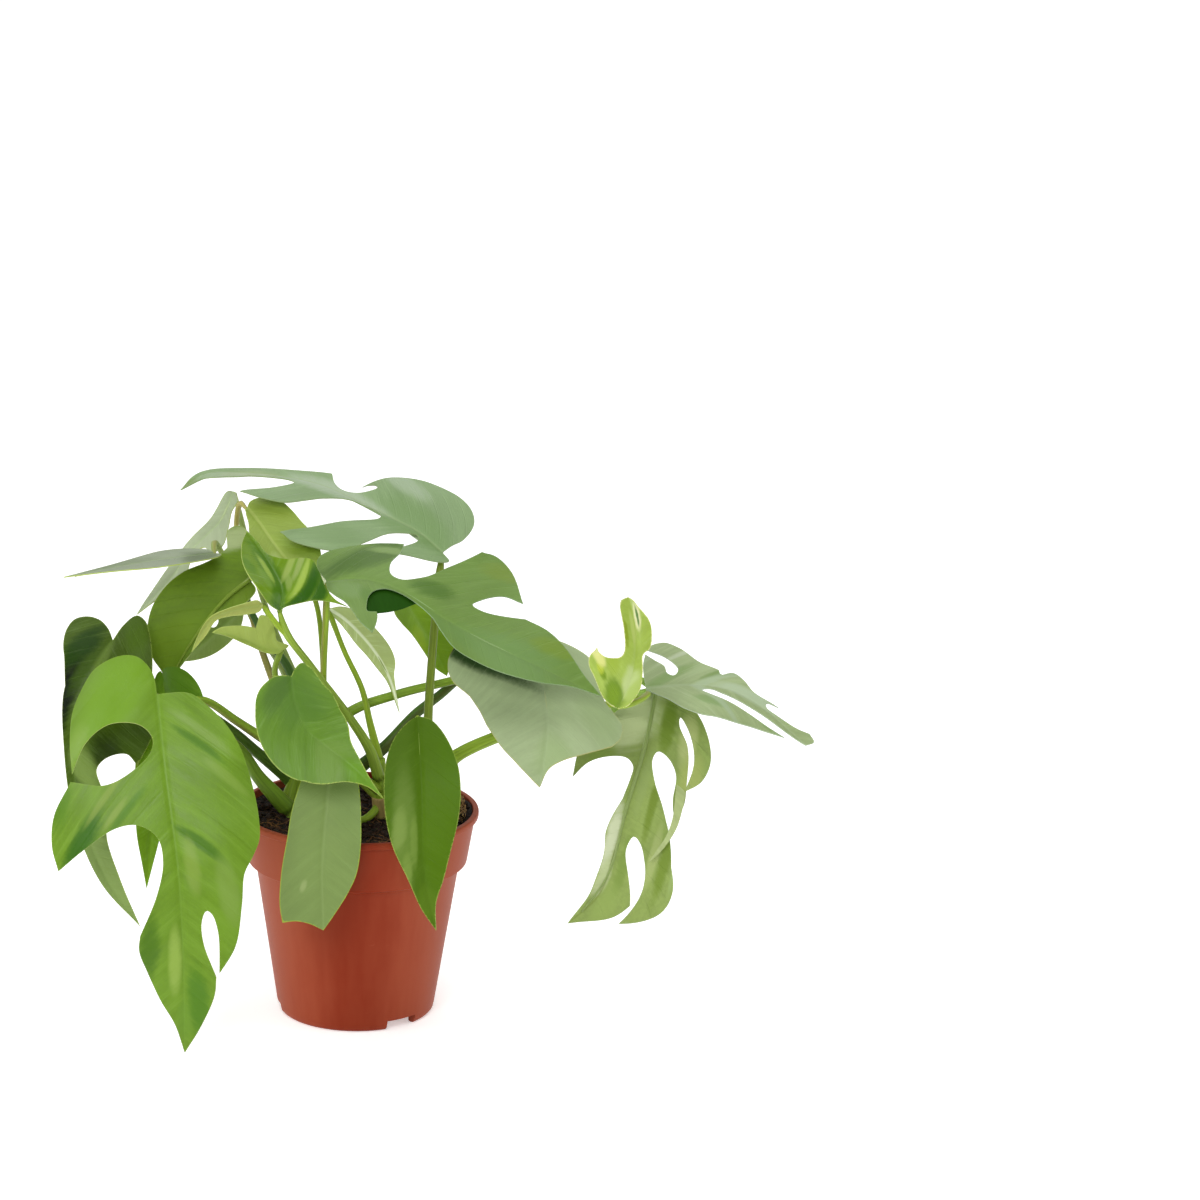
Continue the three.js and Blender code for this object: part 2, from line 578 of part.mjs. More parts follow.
    rib: [[147, 4, 165], [144, -8, 154], [140, -18, 141], [135, -26, 128], [131, -33, 115],
      [126, -40, 97],
      [118, -45, 75], [103, -47, 61]],
    face: [[0.1, 0.9, -0.5], [0, 1, -0.2]],
    fold: [4, 4],
    arch: [0.004, 0.004],
    right: [
      [[0, 0], [0, 8], [0.05, 17], [0.17, 25], [0.31, 30.5], [0.43, 29.5]],
      [[0.43, 29.5], [0.37, 24.5], [0.32, 15], [0.305, 7], [0.33, 2.5], [0.38, 2], [0.46, 3]],
      [[0.46, 3], [0.54, 6], [0.6, 7], [0.68, 5], [0.8, 5], [0.9, 3], [1, 0]],
    ],
    left: [
      [[0, 0], [-0.01, 7], [0.02, 15], [0.08, 23], [0.16, 30], [0.24, 33.5], [0.3, 32], [0.36, 25.5]],
      [[0.36, 25.5], [0.25, 25.5], [0.15, 20], [0.095, 14], [0.13, 14.5], [0.2, 20.5], [0.28, 23.8],
        [0.4, 27], [0.45, 26.5], [0.49, 24.5]],
      [[0.49, 24.5], [0.45, 22.3], [0.41, 21], [0.31, 19], [0.26, 13], [0.245, 7], [0.28, 5.5], [0.36, 10],
        [0.45, 17],
        [0.54, 23], [0.66, 29], [0.75, 33], [0.8, 31.5], [0.87, 16.5]],
      [[0.87, 16.5], [0.77, 18.5], [0.68, 16], [0.61, 11], [0.59, 7], [0.64, 5], [0.74, 10], [0.82, 16]],
      [[0.82, 16], [0.86, 13], [0.93, 6], [1, 0]],
    ],
    petiole: [[105, -12, 158], [116, -4, 165], [128, 1, 168], [139, 4, 171]],
    stalk: [2.6, 1.8],
    tint: 'under',
  },
  leaf_furled: {
    rib: [[123, -68, 177], [128, -68, 190], [131, -66, 203], [130, -62, 217], [127, -56, 229]],
    face: [[0.1, -1, 0.1], [0.2, -1, 0]],
    fold: [14, 14],
    arch: [0.03, 0.03],
    right: [
      [[0, 0], [0.01, 4.4], [0.05, 9.4], [0.14, 14.7], [0.22, 18.3], [0.31, 22], [0.41, 22.4], [0.57, 19.4]],
      [[0.57, 19.4], [0.48, 18], [0.435, 15], [0.437, 11.4], [0.46, 8], [0.51, 6.4], [0.7, 5.8],
        [0.83, 5.7], [0.93, 5.2], [0.98, 4], [1, 0]],
    ],
    left: [[[0, 0], [0.05, 3.5], [0.145, 5.2], [0.245, 5.9], [0.38, 4.4], [0.5, 3.2], [0.55, 6.4],
      [0.65, 7.7], [0.76, 7.5], [0.835, 5.5], [0.9, 3.5], [0.965, 2], [1, 0]]],
    petiole: [[113, -13, 161], [127, -15, 165], [137, -24, 170], [139, -42, 177], [133, -58, 178]],
    stalk: [2, 1.5],
    tint: 'lime',
  },
  leaf_back_variegated: {
    rib: [[-16, 14, 203], [-9, 16, 198], [-2, 18, 191], [5, 18, 183], [11, 18, 174], [15, 16, 166],
      [20, 12, 150]],
    face: [[0.2, -0.9, 0.4], [0.4, -0.9, 0.1]],
    fold: [18, 18],
    arch: [0.01, 0.01],
    right: [[[0, 0], [0.07, 4], [0.19, 7], [0.33, 7.5], [0.55, 7.5], [0.64, 6], [0.71, 3], [0.8, 1.5],
      [1, 0]]],
    left: [[[0, 0], [0.02, 2], [0.1, 3], [0.23, 4.5], [0.36, 5.5], [0.48, 5], [0.62, 4], [0.75, 2],
      [1, 0]]],
    petiole: [[10, 1, 129], [5, 4, 148], [1, 3, 165], [-8, 5, 184], [-15, 12, 200]],
    stalk: [2.4, 1.3],
    tint: 'variegated',
  },
  leaf_back_right: {
    rib: [[22, 42, 202], [28, 44, 191], [35, 46, 179], [44, 46, 160]],
    face: [[0.3, -0.9, 0.3], [0.2, -0.9, 0.2]],
    fold: [6, 6],
    arch: [0.004, 0.004],
    right: [[[0, 0], [0.04, 8], [0.22, 15], [0.46, 15.5], [0.64, 12.5], [0.82, 7], [1, 0]]],
    left: [[[0, 0], [-0.01, 6.5], [0.06, 9], [0.2, 8.5], [0.35, 7], [0.6, 6], [0.85, 4], [1, 0]]],
    petiole: [[-15, 31, 106], [-8, 20, 111], [1, 16, 121], [13, 21, 130], [28, 28, 145], [44, 34, 157],
      [59, 40, 173], [51, 44, 192], [36, 45, 202]],
    stalk: [4.6, 2],
    tint: 'lime',
  },
  leaf_back_low: {
    rib: [[-59, 52, 194], [-68, 50, 185], [-77, 48, 177], [-91, 46, 166]],
    face: [[0.2, -0.7, 0.6]],
    fold: [6, 6],
    arch: [0.004, 0.004],
    right: [[[0, 0], [0.1, 4], [0.25, 7.5], [0.45, 8.5], [0.66, 7.5], [0.86, 4], [1, 0]]],
    left: [
      [[0, 0], [0.1, 5], [0.24, 8], [0.36, 9]],
      [[0.36, 9], [0.33, 4], [0.42, 2.5], [0.5, 7]],
      [[0.5, 7], [0.69, 5], [0.84, 3], [1, 0]],
    ],
    petiole: [[-17, 33, 118], [-32, 42, 148], [-48, 50, 178]],
    stalk: [2.6, 1.4],
    tint: 'pale',
  },
  leaf_striped: {
    rib: [[-35, 20, 228], [-29, 16, 224], [-23, 12, 220], [-16, 8, 216]],
    face: [[0.1, -0.6, 0.8]],
    fold: [6, 6],
    arch: [0.004, 0.004],
    right: [[[0, 0], [0.06, 3.5], [0.29, 6], [0.52, 5.5], [0.78, 4], [1, 0]]],
    left: [[[0, 0], [-0.05, 5], [0.11, 8], [0.35, 8.5], [0.6, 7.5], [0.84, 5], [1, 0]]],
    petiole: [[-17, 33, 121], [-18, 31, 151], [-19, 27, 178], [-22, 24, 202], [-29, 21, 220]],
    stalk: [2.4, 1.3],
    tint: 'variegated',
  },
  leaf_young_boat: {
    rib: [[-38, -6, 187], [-46, -7, 188], [-54, -9, 192], [-63, -12, 196], [-72, -15, 198]],
    face: [[0, -1, 0.2]],
    fold: [25, 25],
    arch: [0.01, 0.01],
    right: [[[0, 0], [0.06, 2], [0.3, 2.2], [0.6, 2], [1, 0]]],
    left: [
      [[0, 0], [-0.07, 2.6], [0.09, 5], [0.14, 10], [0.35, 15], [0.45, 16], [0.53, 15], [0.51, 11],
        [0.49, 8]],
      [[0.49, 8], [0.63, 7], [0.77, 5], [0.91, 3], [1, 0]],
    ],
    petiole: [[-30, 13, 148], [-38, 8, 161], [-42, 3, 173], [-40, -3, 183]],
    stalk: [2.2, 1.5],
    tint: 'lime',
  },
  leaf_young_curled: {
    rib: [[-47, -31, 216], [-55, -32, 215], [-64, -33, 213], [-71, -34, 210], [-77, -35, 201],
      [-81, -36, 194]],
    face: [[0, -1, 0.3], [-0.3, -1, 0]],
    fold: [30, 30],
    arch: [0.05, 0.05],
    right: [[[0, 0], [0.05, 3], [0.2, 3.5], [0.5, 2], [0.75, 2.5], [1, 0]]],
    left: [[[0, 0], [0.05, 3], [0.2, 2.5], [0.5, 1.5], [0.75, 1.5], [1, 0]]],
    petiole: [[-35, -27, 200], [-40, -30, 206]],
    stalk: [1.6, 1.4],
    on: 'leaf_middle',
    tint: 'lime',
  },
};

const STEMS = {
  stem_left: {
    path: [[-35, 2, 60], [-35, 2, 97], [-34, 8, 106], [-31, 13, 117], [-29, 14, 126], [-30, 15, 158]],
    radius: [5, 2.8],
  },
  stem_centre: { path: [[13, 2, 60], [12, 2, 94], [11, 1, 112], [10, 0, 130]], radius: [4.4, 3] },
  stem_right: {
    path: [[31, 3, 60], [32, 3, 94], [37, 1, 120], [48, -4, 133], [67, -8, 144], [90, -11, 153],
      [114, -13, 161]],
    radius: [4.2, 2.4],
  },
  stem_back: { path: [[-15, 32, 60], [-16, 32, 96], [-17, 33, 126]], radius: [4, 2.6] },
};

// ---------------------------------------------------------------- colours
const tints = {
  fresh: 0x5a9a26,
  deep: 0x3c7d1e,
  dark: 0x24501c,
  olive: 0x6f8b2c,
  lime: 0xa6c23a,
  blue: 0x6f9a68,
  pale: 0x9fbc8c,
  under: 0x8fae6a,
  variegated: 0xb5c78c,
  stem: 0x7da33f,
  pot: 0xb0492f,
  soil: 0x3a241a,
};
const finish = (tint, roughness) => new THREE.MeshStandardMaterial({ color: tints[tint], roughness });

// ---------------------------------------------------------------- pot and soil
function potSolid() {
  const { height, wall, floorUnder } = POT;
  const bandFoot = height - POT.bandHeight;
  const outline = [
    [0, 0],
    [POT.padRadius, 0],
    [POT.padRadius, floorUnder],
    [POT.bodyFootRadius - POT.footWidth, floorUnder],
    [POT.bodyFootRadius - POT.footWidth, 0],
    [POT.bodyFootRadius - POT.footFillet + POT.chamfer, 0],
    [POT.bodyFootRadius - POT.chamfer, POT.footRise],
    [POT.bodyFootRadius, POT.footFillet],
    [POT.bodyTopRadius, bandFoot - POT.underBand],
    [POT.bandFootRadius, bandFoot],
    [POT.bandTopRadius, height - POT.lipHeight],
    [POT.rimRadius, height - POT.lipHeight + POT.chamfer],
    [POT.rimRadius, height - POT.chamfer],
    [POT.rimRadius - POT.chamfer, height],
    [POT.bandTopRadius - wall, height],
    [POT.bandFootRadius - wall, bandFoot],
    [POT.bodyTopRadius - wall, bandFoot - POT.underBand],
    [POT.bodyFootRadius - wall, floorUnder + wall],
    [0, floorUnder + wall],
  ];
  const turned = new THREE.LatheGeometry(outline.map(([r, z]) => new THREE.Vector2(r, z)), POT.segments);
  turned.rotateX(Math.PI / 2);
  let pot = closedSolid(turned);
  for (let i = 0; i < POT.drainCount; i++) {
    const hole = new THREE.CylinderGeometry(POT.drainRadius, POT.drainRadius, 3 * wall, POT.drainSides);
    const turn = (i / POT.drainCount) * 2 * Math.PI;
    hole.rotateX(Math.PI / 2);
    hole.translate(POT.drainCircle, 0, floorUnder + wall / 2);
    hole.rotateZ(turn);
    pot = pot.subtract(solidFrom(hole));
  }
  for (let i = 0; i < POT.notchCount; i++) {
    const width = 2 * POT.bodyFootRadius * Math.sin(POT.notchSpan / 2);
    const notch = new THREE.BoxGeometry(4 * POT.footWidth, width, 2 * floorUnder);
    notch.translate(POT.bodyFootRadius, 0, -GAP);
    notch.rotateZ(POT.notchStart + (i * 2 * Math.PI) / POT.notchCount);
    pot = pot.subtract(solidFrom(notch));
  }
  return pot;
}

function soilSolid() {
  const floor = POT.floorUnder + POT.wall + GAP;
  const bandFoot = POT.height - POT.bandHeight;
  const share = (SOIL.level - bandFoot) / (POT.height - bandFoot);
  const topRadius = THREE.MathUtils.lerp(POT.bandFootRadius, POT.bandTopRadius, share) - POT.wall - GAP;
  const outline = [
    [0, floor],
    [POT.bodyFootRadius - POT.wall - GAP, floor],
    [POT.bodyTopRadius - POT.wall - GAP, bandFoot - POT.underBand],
    [POT.bandFootRadius - POT.wall - GAP, bandFoot],
    [topRadius, SOIL.level],
  ];
  for (let i = SOIL.rings - 1; i >= 0; i--) {
    const r = (topRadius * i) / SOIL.rings;
    outline.push([r, SOIL.level + SOIL.dome * (1 - (r / topRadius) ** 2)]);
  }
  const turned = new THREE.LatheGeometry(outline.map(([r, z]) => new THREE.Vector2(r, z)), SOIL.segments);
  turned.rotateX(Math.PI / 2);
  const place = turned.attributes.position;
  for (let i = 0; i < place.count; i++) {
    const reach = Math.hypot(place.getX(i), place.getY(i));
    if (place.getZ(i) < bandFoot + GAP || reach > topRadius - GAP) continue;
    place.setZ(i, place.getZ(i) + SOIL.bump * noise(place.getX(i), place.getY(i)));
  }
  return closedSolid(turned);
}

// ---------------------------------------------------------------- assembly
const plant = new THREE.Group();
function addPiece(name, solid, material) {
  const mesh = new THREE.Mesh(geometryFrom(solid), material);
  mesh.name = name;
  plant.add(mesh);
}

const stemRadius = ([foot, tip], grow = 0) => (t) => THREE.MathUtils.lerp(foot, tip, t) + grow;
const stemSolid = ({ path, radius }, grow) =>
  bentCylinder(through(path), stemRadius(radius, grow), STEM.sides, STEM.step);
const grownStems = Object.values(STEMS).map((stem) => stemSolid(stem, GAP));
let soil = soilSolid();
for (const grown of grownStems) soil = soil.subtract(grown);

addPiece('pot', potSolid(), finish('pot', ROUGHNESS.pot));
for (const [name, stem] of Object.entries(STEMS)) {
  addPiece(name, stemSolid(stem), finish('stem', ROUGHNESS.stem));
}
for (const [name, spec] of Object.entries(LEAVES)) {
  let leaf = leafSolid(spec);
  for (const grown of grownStems) leaf = leaf.subtract(grown);
  if (spec.on) leaf = leaf.subtract(petioleSolid(LEAVES[spec.on], vec(LEAVES[spec.on].rib[0]), GAP));
  addPiece(name, largestBody(leaf), finish(spec.tint, ROUGHNESS.leaf));
}
addPiece('soil', largestBody(soil), finish('soil', ROUGHNESS.soil));

export default plant;
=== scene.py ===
"""Looks of the mini monstera in its nursery pot: fine leaves, stalks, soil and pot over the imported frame.

Lengths in the tables are millimetres; the Blender scene is in metres, +Z up, front of the plant towards -Y.
"""

import math
import random

import bmesh
import bpy
from mathutils import Matrix, Vector, kdtree, noise


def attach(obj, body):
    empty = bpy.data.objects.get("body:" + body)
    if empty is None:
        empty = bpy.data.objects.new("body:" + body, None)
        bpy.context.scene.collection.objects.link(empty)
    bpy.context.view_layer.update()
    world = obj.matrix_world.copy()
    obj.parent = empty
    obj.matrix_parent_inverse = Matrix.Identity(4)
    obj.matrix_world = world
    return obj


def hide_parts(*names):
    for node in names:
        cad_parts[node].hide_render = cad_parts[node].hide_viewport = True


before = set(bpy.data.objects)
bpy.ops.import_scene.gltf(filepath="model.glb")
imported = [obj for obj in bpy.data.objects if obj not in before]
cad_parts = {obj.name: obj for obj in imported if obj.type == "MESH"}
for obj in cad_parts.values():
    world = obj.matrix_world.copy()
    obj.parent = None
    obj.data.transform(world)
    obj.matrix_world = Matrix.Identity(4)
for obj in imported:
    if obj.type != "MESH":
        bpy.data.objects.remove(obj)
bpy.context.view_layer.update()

MM = 0.001

# ---------------------------------------------------------------- camera
CAMERA_PLACE = (0.0, -1.71383, 0.65525)
CAMERA_YAW = math.radians(3.92)  # to the right of +Y
CAMERA_PITCH = math.radians(-14.44)
CAMERA_ROLL = math.radians(1.731)
CAMERA_LENS = 108  # millimetres, as is the sensor
CAMERA_SENSOR = 36
CAMERA_SIGHT = 50  # metres


def add_camera():
    data = bpy.data.cameras.new("camera")
    data.lens = CAMERA_LENS
    data.sensor_width = CAMERA_SENSOR
    data.clip_end = CAMERA_SIGHT
    camera = bpy.data.objects.new("camera", data)
    bpy.context.scene.collection.objects.link(camera)
    upright = Matrix.Rotation(math.pi / 2 + CAMERA_PITCH, 4, "X")
    turned = Matrix.Rotation(-CAMERA_YAW, 4, "Z") @ upright @ Matrix.Rotation(CAMERA_ROLL, 4, "Z")
    camera.matrix_world = Matrix.Translation(CAMERA_PLACE) @ turned
    bpy.context.scene.camera = camera


# ---------------------------------------------------------------- curves and blades
class Path:
    """A smooth curve through points, walked by its share of length and straight on past both ends."""

    SAMPLES = 240
    AROUND = 0.006  # share of the length, before and behind, over which a heading is taken
    LEAST_GAP = 1e-4

    def __init__(self, points):
        points = [Vector(p) for p in points]
        points = [2 * points[0] - points[1], *points, 2 * points[-1] - points[-2]]
        spans = len(points) - 3
        self.spots = []
        for i in range(self.SAMPLES + 1):
            place = spans * i / self.SAMPLES
            span = min(int(place), spans - 1)
            self.spots.append(self.bend(points[span : span + 4], place - span))
        self.reach = [0.0]
        for a, b in zip(self.spots, self.spots[1:]):
            self.reach.append(self.reach[-1] + (b - a).length)
        self.length = self.reach[-1]

    @staticmethod
    def bend(four, t):
        a, b, c, d = four
        gaps = [max((q - p).length_squared ** 0.25, Path.LEAST_GAP) for p, q in ((a, b), (b, c), (c, d))]
        leave = ((b - a) / gaps[0] - (c - a) / (gaps[0] + gaps[1]) + (c - b) / gaps[1]) * gaps[1]
        arrive = ((c - b) / gaps[1] - (d - b) / (gaps[1] + gaps[2]) + (d - c) / gaps[2]) * gaps[1]
        cubic = 2 * b - 2 * c + leave + arrive
        square = -3 * b + 3 * c - 2 * leave - arrive
        return b + leave * t + square * t**2 + cubic * t**3

    def spot(self, share):
        goal = min(max(share, 0), 1) * self.length
        low, high = 0, len(self.reach) - 1
        while high - low > 1:
            middle = (low + high) // 2
            if self.reach[middle] > goal:
                high = middle
            else:
                low = middle
        part = (goal - self.reach[low]) / (self.reach[high] - self.reach[low])
        return self.spots[low].lerp(self.spots[high], part)

    def heading(self, share):
        return (self.spot(share + self.AROUND) - self.spot(share - self.AROUND)).normalized()


class Blade:
    """The surface a leaf lies on: a midrib, the way it faces, and how each half folds and arches."""

    def __init__(self, rib, face, fold, arch):
        self.rib = Path(rib)
        self.length = self.rib.length
        facing = [Vector(f) for f in face]
        self.facing = facing * 2 if len(facing) == 1 else facing
        self.rise = [math.radians(degrees) for degrees in fold]
        self.arch = arch
        self.known = {}

    def frame(self, along):
        key = round(along, 3)
        if key not in self.known:
            share = along / self.length
            t = min(max(share, 0), 1)
            heading = self.rib.heading(t)
            spot = self.rib.spot(t) + heading * (share - t) * self.length
            stretch = t * (len(self.facing) - 1)
            k = min(int(stretch), len(self.facing) - 2)
            look = self.facing[k].lerp(self.facing[k + 1], stretch - k)
            up = (look - heading * look.dot(heading)).normalized()
            self.known[key] = (spot, up, up.cross(heading))
        return self.known[key]

    def place(self, along, across, lift=0.0):
        """The point at these flat distances, raised off the surface by lift."""
        spot, up, right = self.frame(along)
        side = 0 if across < 0 else 1
        sign = math.copysign(1, across)
        bend = self.arch[side]
        slope = self.rise[side] - bend * abs(across)
        out = (math.sin(self.rise[side]) - math.sin(slope)) / bend
        height = (math.cos(slope) - math.cos(self.rise[side])) / bend
        return (
            spot
            + right * sign * (out - lift * math.sin(slope))
            + up * (height + lift * math.cos(slope))
        )


# ---------------------------------------------------------------- the leaves
# What every leaf has unless its own look says otherwise. Lengths are millimetres, colours six-figure codes.
HABIT = dict(
    slant=0.75,  # how far the side veins lean towards the tip, per millimetre out
    spacing=9.0,  # from one side vein to the next
    relief=0.08,  # how high the blade stands up between side veins
    wave=1.0,  # how far the whole blade waves
    contrast=0.08,
    veins=0.04,
    midrib=0.12,
    rim=0.25,
    # how much painted sheen, in streaks of the colour pale, lies along the side veins; on the variegated
    # leaves these pale streaks are their own colour
    sheen_and_pale_streaks=0.1,
    gloss=0.36,
    shine=0.3,
    pale="#b4cc9a",
    vein="#8fb556",
    edge="#a3b552",
    stalk="#86a02c",
    blush="#8a7c42",
    # patches paint highlights, sheen and shade, and a few of a leaf's own tints; shadow rows paint cast
    # shadows
    patches=[],
    shadow=[],
    under_patches=[],
)

# Each leaf, in the order in which they are made; lengths are millimetres.
#   slot           its material in the record
#   stalk          radius of the petiole at the stem and at the blade
#   fold           degrees by which the left and the right half rise from the midrib
#   arch           how much each half bends down again, in radians per millimetre out
#   face           which way the blade faces, at even stops from base to tip
#   rib, petiole   points of the midrib from base to tip, and of the petiole from stem to base
#   right, left    each margin from base to tip, as smooth runs of [share of the midrib, distance out]
#                  that meet in corners; a run begins where the one before it ended
#   lap            a lobe that curls over or under its own leaf: its closed outline, and the shares of the
#                  midrib between which it lifts off, with the height that it reaches
#   look           what differs from HABIT; a patch is [start of its side vein, across, half length,
#                  half width, colour, strength], and a shadow leans against the side veins instead;
#                  most patches are painted highlights, sheen and shade, a few a leaf's own tints,
#                  and a shadow is a painted cast shadow
LEAVES = {}
LEAVES["leaf_front_left"] = dict(
    slot="leaf_fresh", stalk=[5, 2], fold=[6, 10], arch=[0.006, 0.009],
    face=[[0.05, -0.8, 0.6], [0, -1, 0.25]],
    rib=[[-97, -45, 175], [-92, -66, 144], [-85, -84, 100], [-82, -93, 59], [-81, -99, 13]],
    petiole=[
        [-35, 2, 103], [-41, 1, 110], [-50, 2, 120], [-57, 0, 132], [-66, -10, 144], [-91, -38, 168],
    ],
    right=[
        [
            [0.01, 16], [0.05, 23.5], [0.11, 31], [0.19, 37], [0.28, 39.9], [0.38, 41], [0.44, 40],
            [0.48, 36], [0.52, 31.3], [0.6, 29], [0.71, 25], [0.78, 17],
        ],
        [[0.67, 17], [0.62, 14.5], [0.61, 12], [0.64, 9.5], [0.7, 10], [0.79, 15.5]],
        [[0.84, 14.5], [0.93, 7.5], [1, 0]],
    ],
    left=[
        [
            [-0.06, 1], [-0.11, 7], [-0.12, 15], [-0.09, 28], [-0.03, 36], [0.03, 41], [0.11, 43.5],
            [0.2, 44],
        ],
        [
            [0.12, 36], [0.075, 24], [0.085, 10], [0.125, 4.5], [0.165, 6], [0.21, 15], [0.24, 29],
            [0.22, 45],
        ],
        [[0.3, 55], [0.38, 58], [0.46, 56.5]],
        [[0.41, 44], [0.36, 27], [0.36, 16], [0.4, 8], [0.47, 6.7], [0.56, 11], [0.67, 20]],
        [[0.71, 20.7], [0.77, 17.3], [0.85, 11.4], [0.92, 4.5], [1, 0]],
    ],
    look=dict(
        face="#5e8018", under="#80a242", relief=0.7, spacing=19.0, wave=1.5, sheen_and_pale_streaks=0.4, contrast=0.14,
        veins=0.0, rim=0.1, midrib=0.08, pale="#728d39", stalk="#6c8a28",
        # painted light: the lit upper-left lobe, sheen bands and a pale strip beside the midrib; painted
        # shade: dark lenses between the side veins; the tips darker
        patches=[
            [-17, -21, 22, 20, "#658c15", 0.9], [-16, -40, 8, 6, "#729132", 0.7],
            [-22, -1, 5, 5, "#48650d", 0.7], [13, 17, 3.5, 12, "#406902", 0.85],
            [20, 28, 4, 10, "#708c33", 0.7], [5, 20, 3, 16, "#6d8a32", 0.6],
            [65, 12, 4, 12, "#3d6502", 0.9], [80, 7, 14, 4, "#758e36", 0.7],
            [78, 23, 16, 6, "#708c39", 0.7], [145, 7, 18, 6, "#446f07", 0.9],
            [158, 0, 10, 4, "#5d821f", 0.7], [112, -16, 16, 6, "#406503", 0.9],
            [128, -4, 17, 3.5, "#809b3e", 0.95], [-4, -51, 12, 7, "#4c7309", 0.95],
            [27, -44, 9, 12, "#2d5b01", 0.95], [39, -20, 3, 12, "#456f09", 0.8],
            [22, -30, 2.5, 12, "#778d36", 0.7], [34, -26, 2.5, 7, "#7c913c", 0.6],
        ],
    ),
)
LEAVES["leaf_left_dark"] = dict(
    slot="leaf_dark", stalk=[3.6, 2.2], fold=[0, 6], arch=[0.004, 0.006],
    face=[[-0.1, -0.7, 0.7], [-0.2, -0.9, 0.3], [0, -1, 0.1]],
    rib=[
        [-121, -2, 190], [-128, -12, 180], [-136, -20, 164], [-139, -26, 143], [-135, -32, 112],
        [-122, -36, 78], [-106, -36, 54],
    ],
    petiole=[
        [-32, 13, 112], [-38, 13, 118], [-51, 10, 130], [-61, 4, 141], [-76, 0, 153], [-96, -2, 163],
        [-114, -2, 176],
    ],
    right=[
        [
            [-0.06, 0.5], [-0.11, 4], [-0.1, 10], [-0.05, 17], [0.02, 24], [0.11, 31], [0.18, 36],
            [0.31, 39.5],
        ],
        [[0.38, 36.5], [0.45, 32]],
        [[0.4, 27], [0.41, 18], [0.45, 12], [0.51, 13]],
        [[0.61, 12], [0.69, 8.5], [0.83, 6], [1, 0]],
    ],
    left=[
        [
            [-0.03, 5], [-0.05, 12], [-0.045, 19], [-0.02, 23.5], [0.02, 24], [0.07, 21.5], [0.12, 17],
            [0.2, 9.5],
        ],
        [[0.36, 4.5], [0.6, 4], [0.8, 3.5], [1, 0]],
    ],
    look=dict(
        face="#3c5110", under="#4f652e", gloss=0.28, contrast=0.12, wave=1.6, shine=0.12, midrib=0.05,
        stalk="#486420",
        # painted shade: the near-black strip along the left edge and the darker base; parts lying in shade,
        # the hanging tip among them, painted lighter to make up for it; faint painted sheen streaks
        patches=[
            [30, -8, 26, 6, "#091402", 1.0], [30, -14, 26, 6, "#091402", 1.0],
            [18, -4, 14, 5, "#354d0b", 0.8], [2, -12, 14, 8, "#1a3602", 0.9],
            [-14, 10, 9, 10, "#47611a", 0.7], [13, 1, 14, 3, "#5b712b", 0.6],
            [55, 20, 22, 10, "#26360a", 0.9], [122, 1, 42, 12, "#798f4e", 1.0],
            [64, 6, 12, 8, "#728942", 0.9], [40, 6, 20, 3, "#5b712b", 0.4],
        ],
    ),
)
LEAVES["leaf_left_behind"] = dict(
    slot="leaf_dark", stalk=[3.8, 2], fold=[10, 10], arch=[0.01, 0.01],
    face=[[0.2, -0.7, 0.7], [0.1, -1, 0.2]],
    rib=[[-95, -12, 163], [-93, -19, 149], [-97, -26, 129], [-101, -30, 100], [-103, -32, 72]],
    petiole=[[-29, 14, 124], [-44, 8, 135], [-60, 1, 148], [-76, -7, 161], [-86, -12, 162]],
    right=[
        [
            [-0.155, 0.5], [-0.166, 3.5], [-0.163, 7], [-0.14, 11.3], [-0.1, 14.9], [-0.05, 17.4],
            [0.01, 18.7], [0.1, 18], [0.22, 15], [0.42, 12.5], [0.62, 6.5], [0.8, 3.5], [1, 0],
        ],
    ],
    left=[
        [
            [-0.15, 0.5], [-0.14, 2.4], [-0.1, 4.6], [-0.04, 7.6], [0.07, 11], [0.27, 13.5], [0.49, 10.5],
            [0.71, 7], [0.85, 3.5], [1, 0],
        ],
    ],
    look=dict(
        face="#668b15", under="#62832e", gloss=0.4, shine=0.15, veins=0.0, relief=0.04, rim=0.02,
        midrib=0.0, stalk="#7f9a2e",
        patches=[[-15, 6, 16, 16, "#446a04", 0.9]],
    ),
)
LEAVES["leaf_olive"] = dict(
    slot="leaf_olive", stalk=[2.8, 1.6], fold=[0, 0], arch=[0.004, 0.004],
    face=[[0.25, 0.8, -0.45], [0.25, 0.85, -0.4]],
    rib=[[-55, 22, 215], [-65, 16, 208], [-73, 11, 200], [-84, 7, 185], [-94, 4, 167]],
    petiole=[[-30, 15, 156], [-36, 17, 172], [-49, 27, 187], [-57, 28, 205]],
    right=[
        [[-0.08, 7], [-0.18, 15.5], [-0.26, 23], [-0.23, 27], [-0.15, 28], [-0.05, 21]],
        [
            [0.06, 20.5], [0.16, 22], [0.27, 26], [0.4, 28], [0.6, 27.5], [0.75, 23], [0.9, 14],
            [0.95, 7], [1, 0],
        ],
    ],
    left=[[[0.02, 6], [0.1, 8], [0.21, 8], [0.32, 4.5], [0.45, 3], [0.62, 3.5], [0.8, 2], [1, 0]]],
    look=dict(
        face="#4c6912", under="#57730d", contrast=0.06, veins=0.02, midrib=0.3, vein="#70871f",
        stalk="#44642a",
        under_patches=[
            [45, 11, 22, 13, "#65820e", 0.7], [8, -3, 10, 8, "#69821e", 0.5],
            [-29, 23, 12, 9, "#93a170", 1.0],
        ],
    ),
)
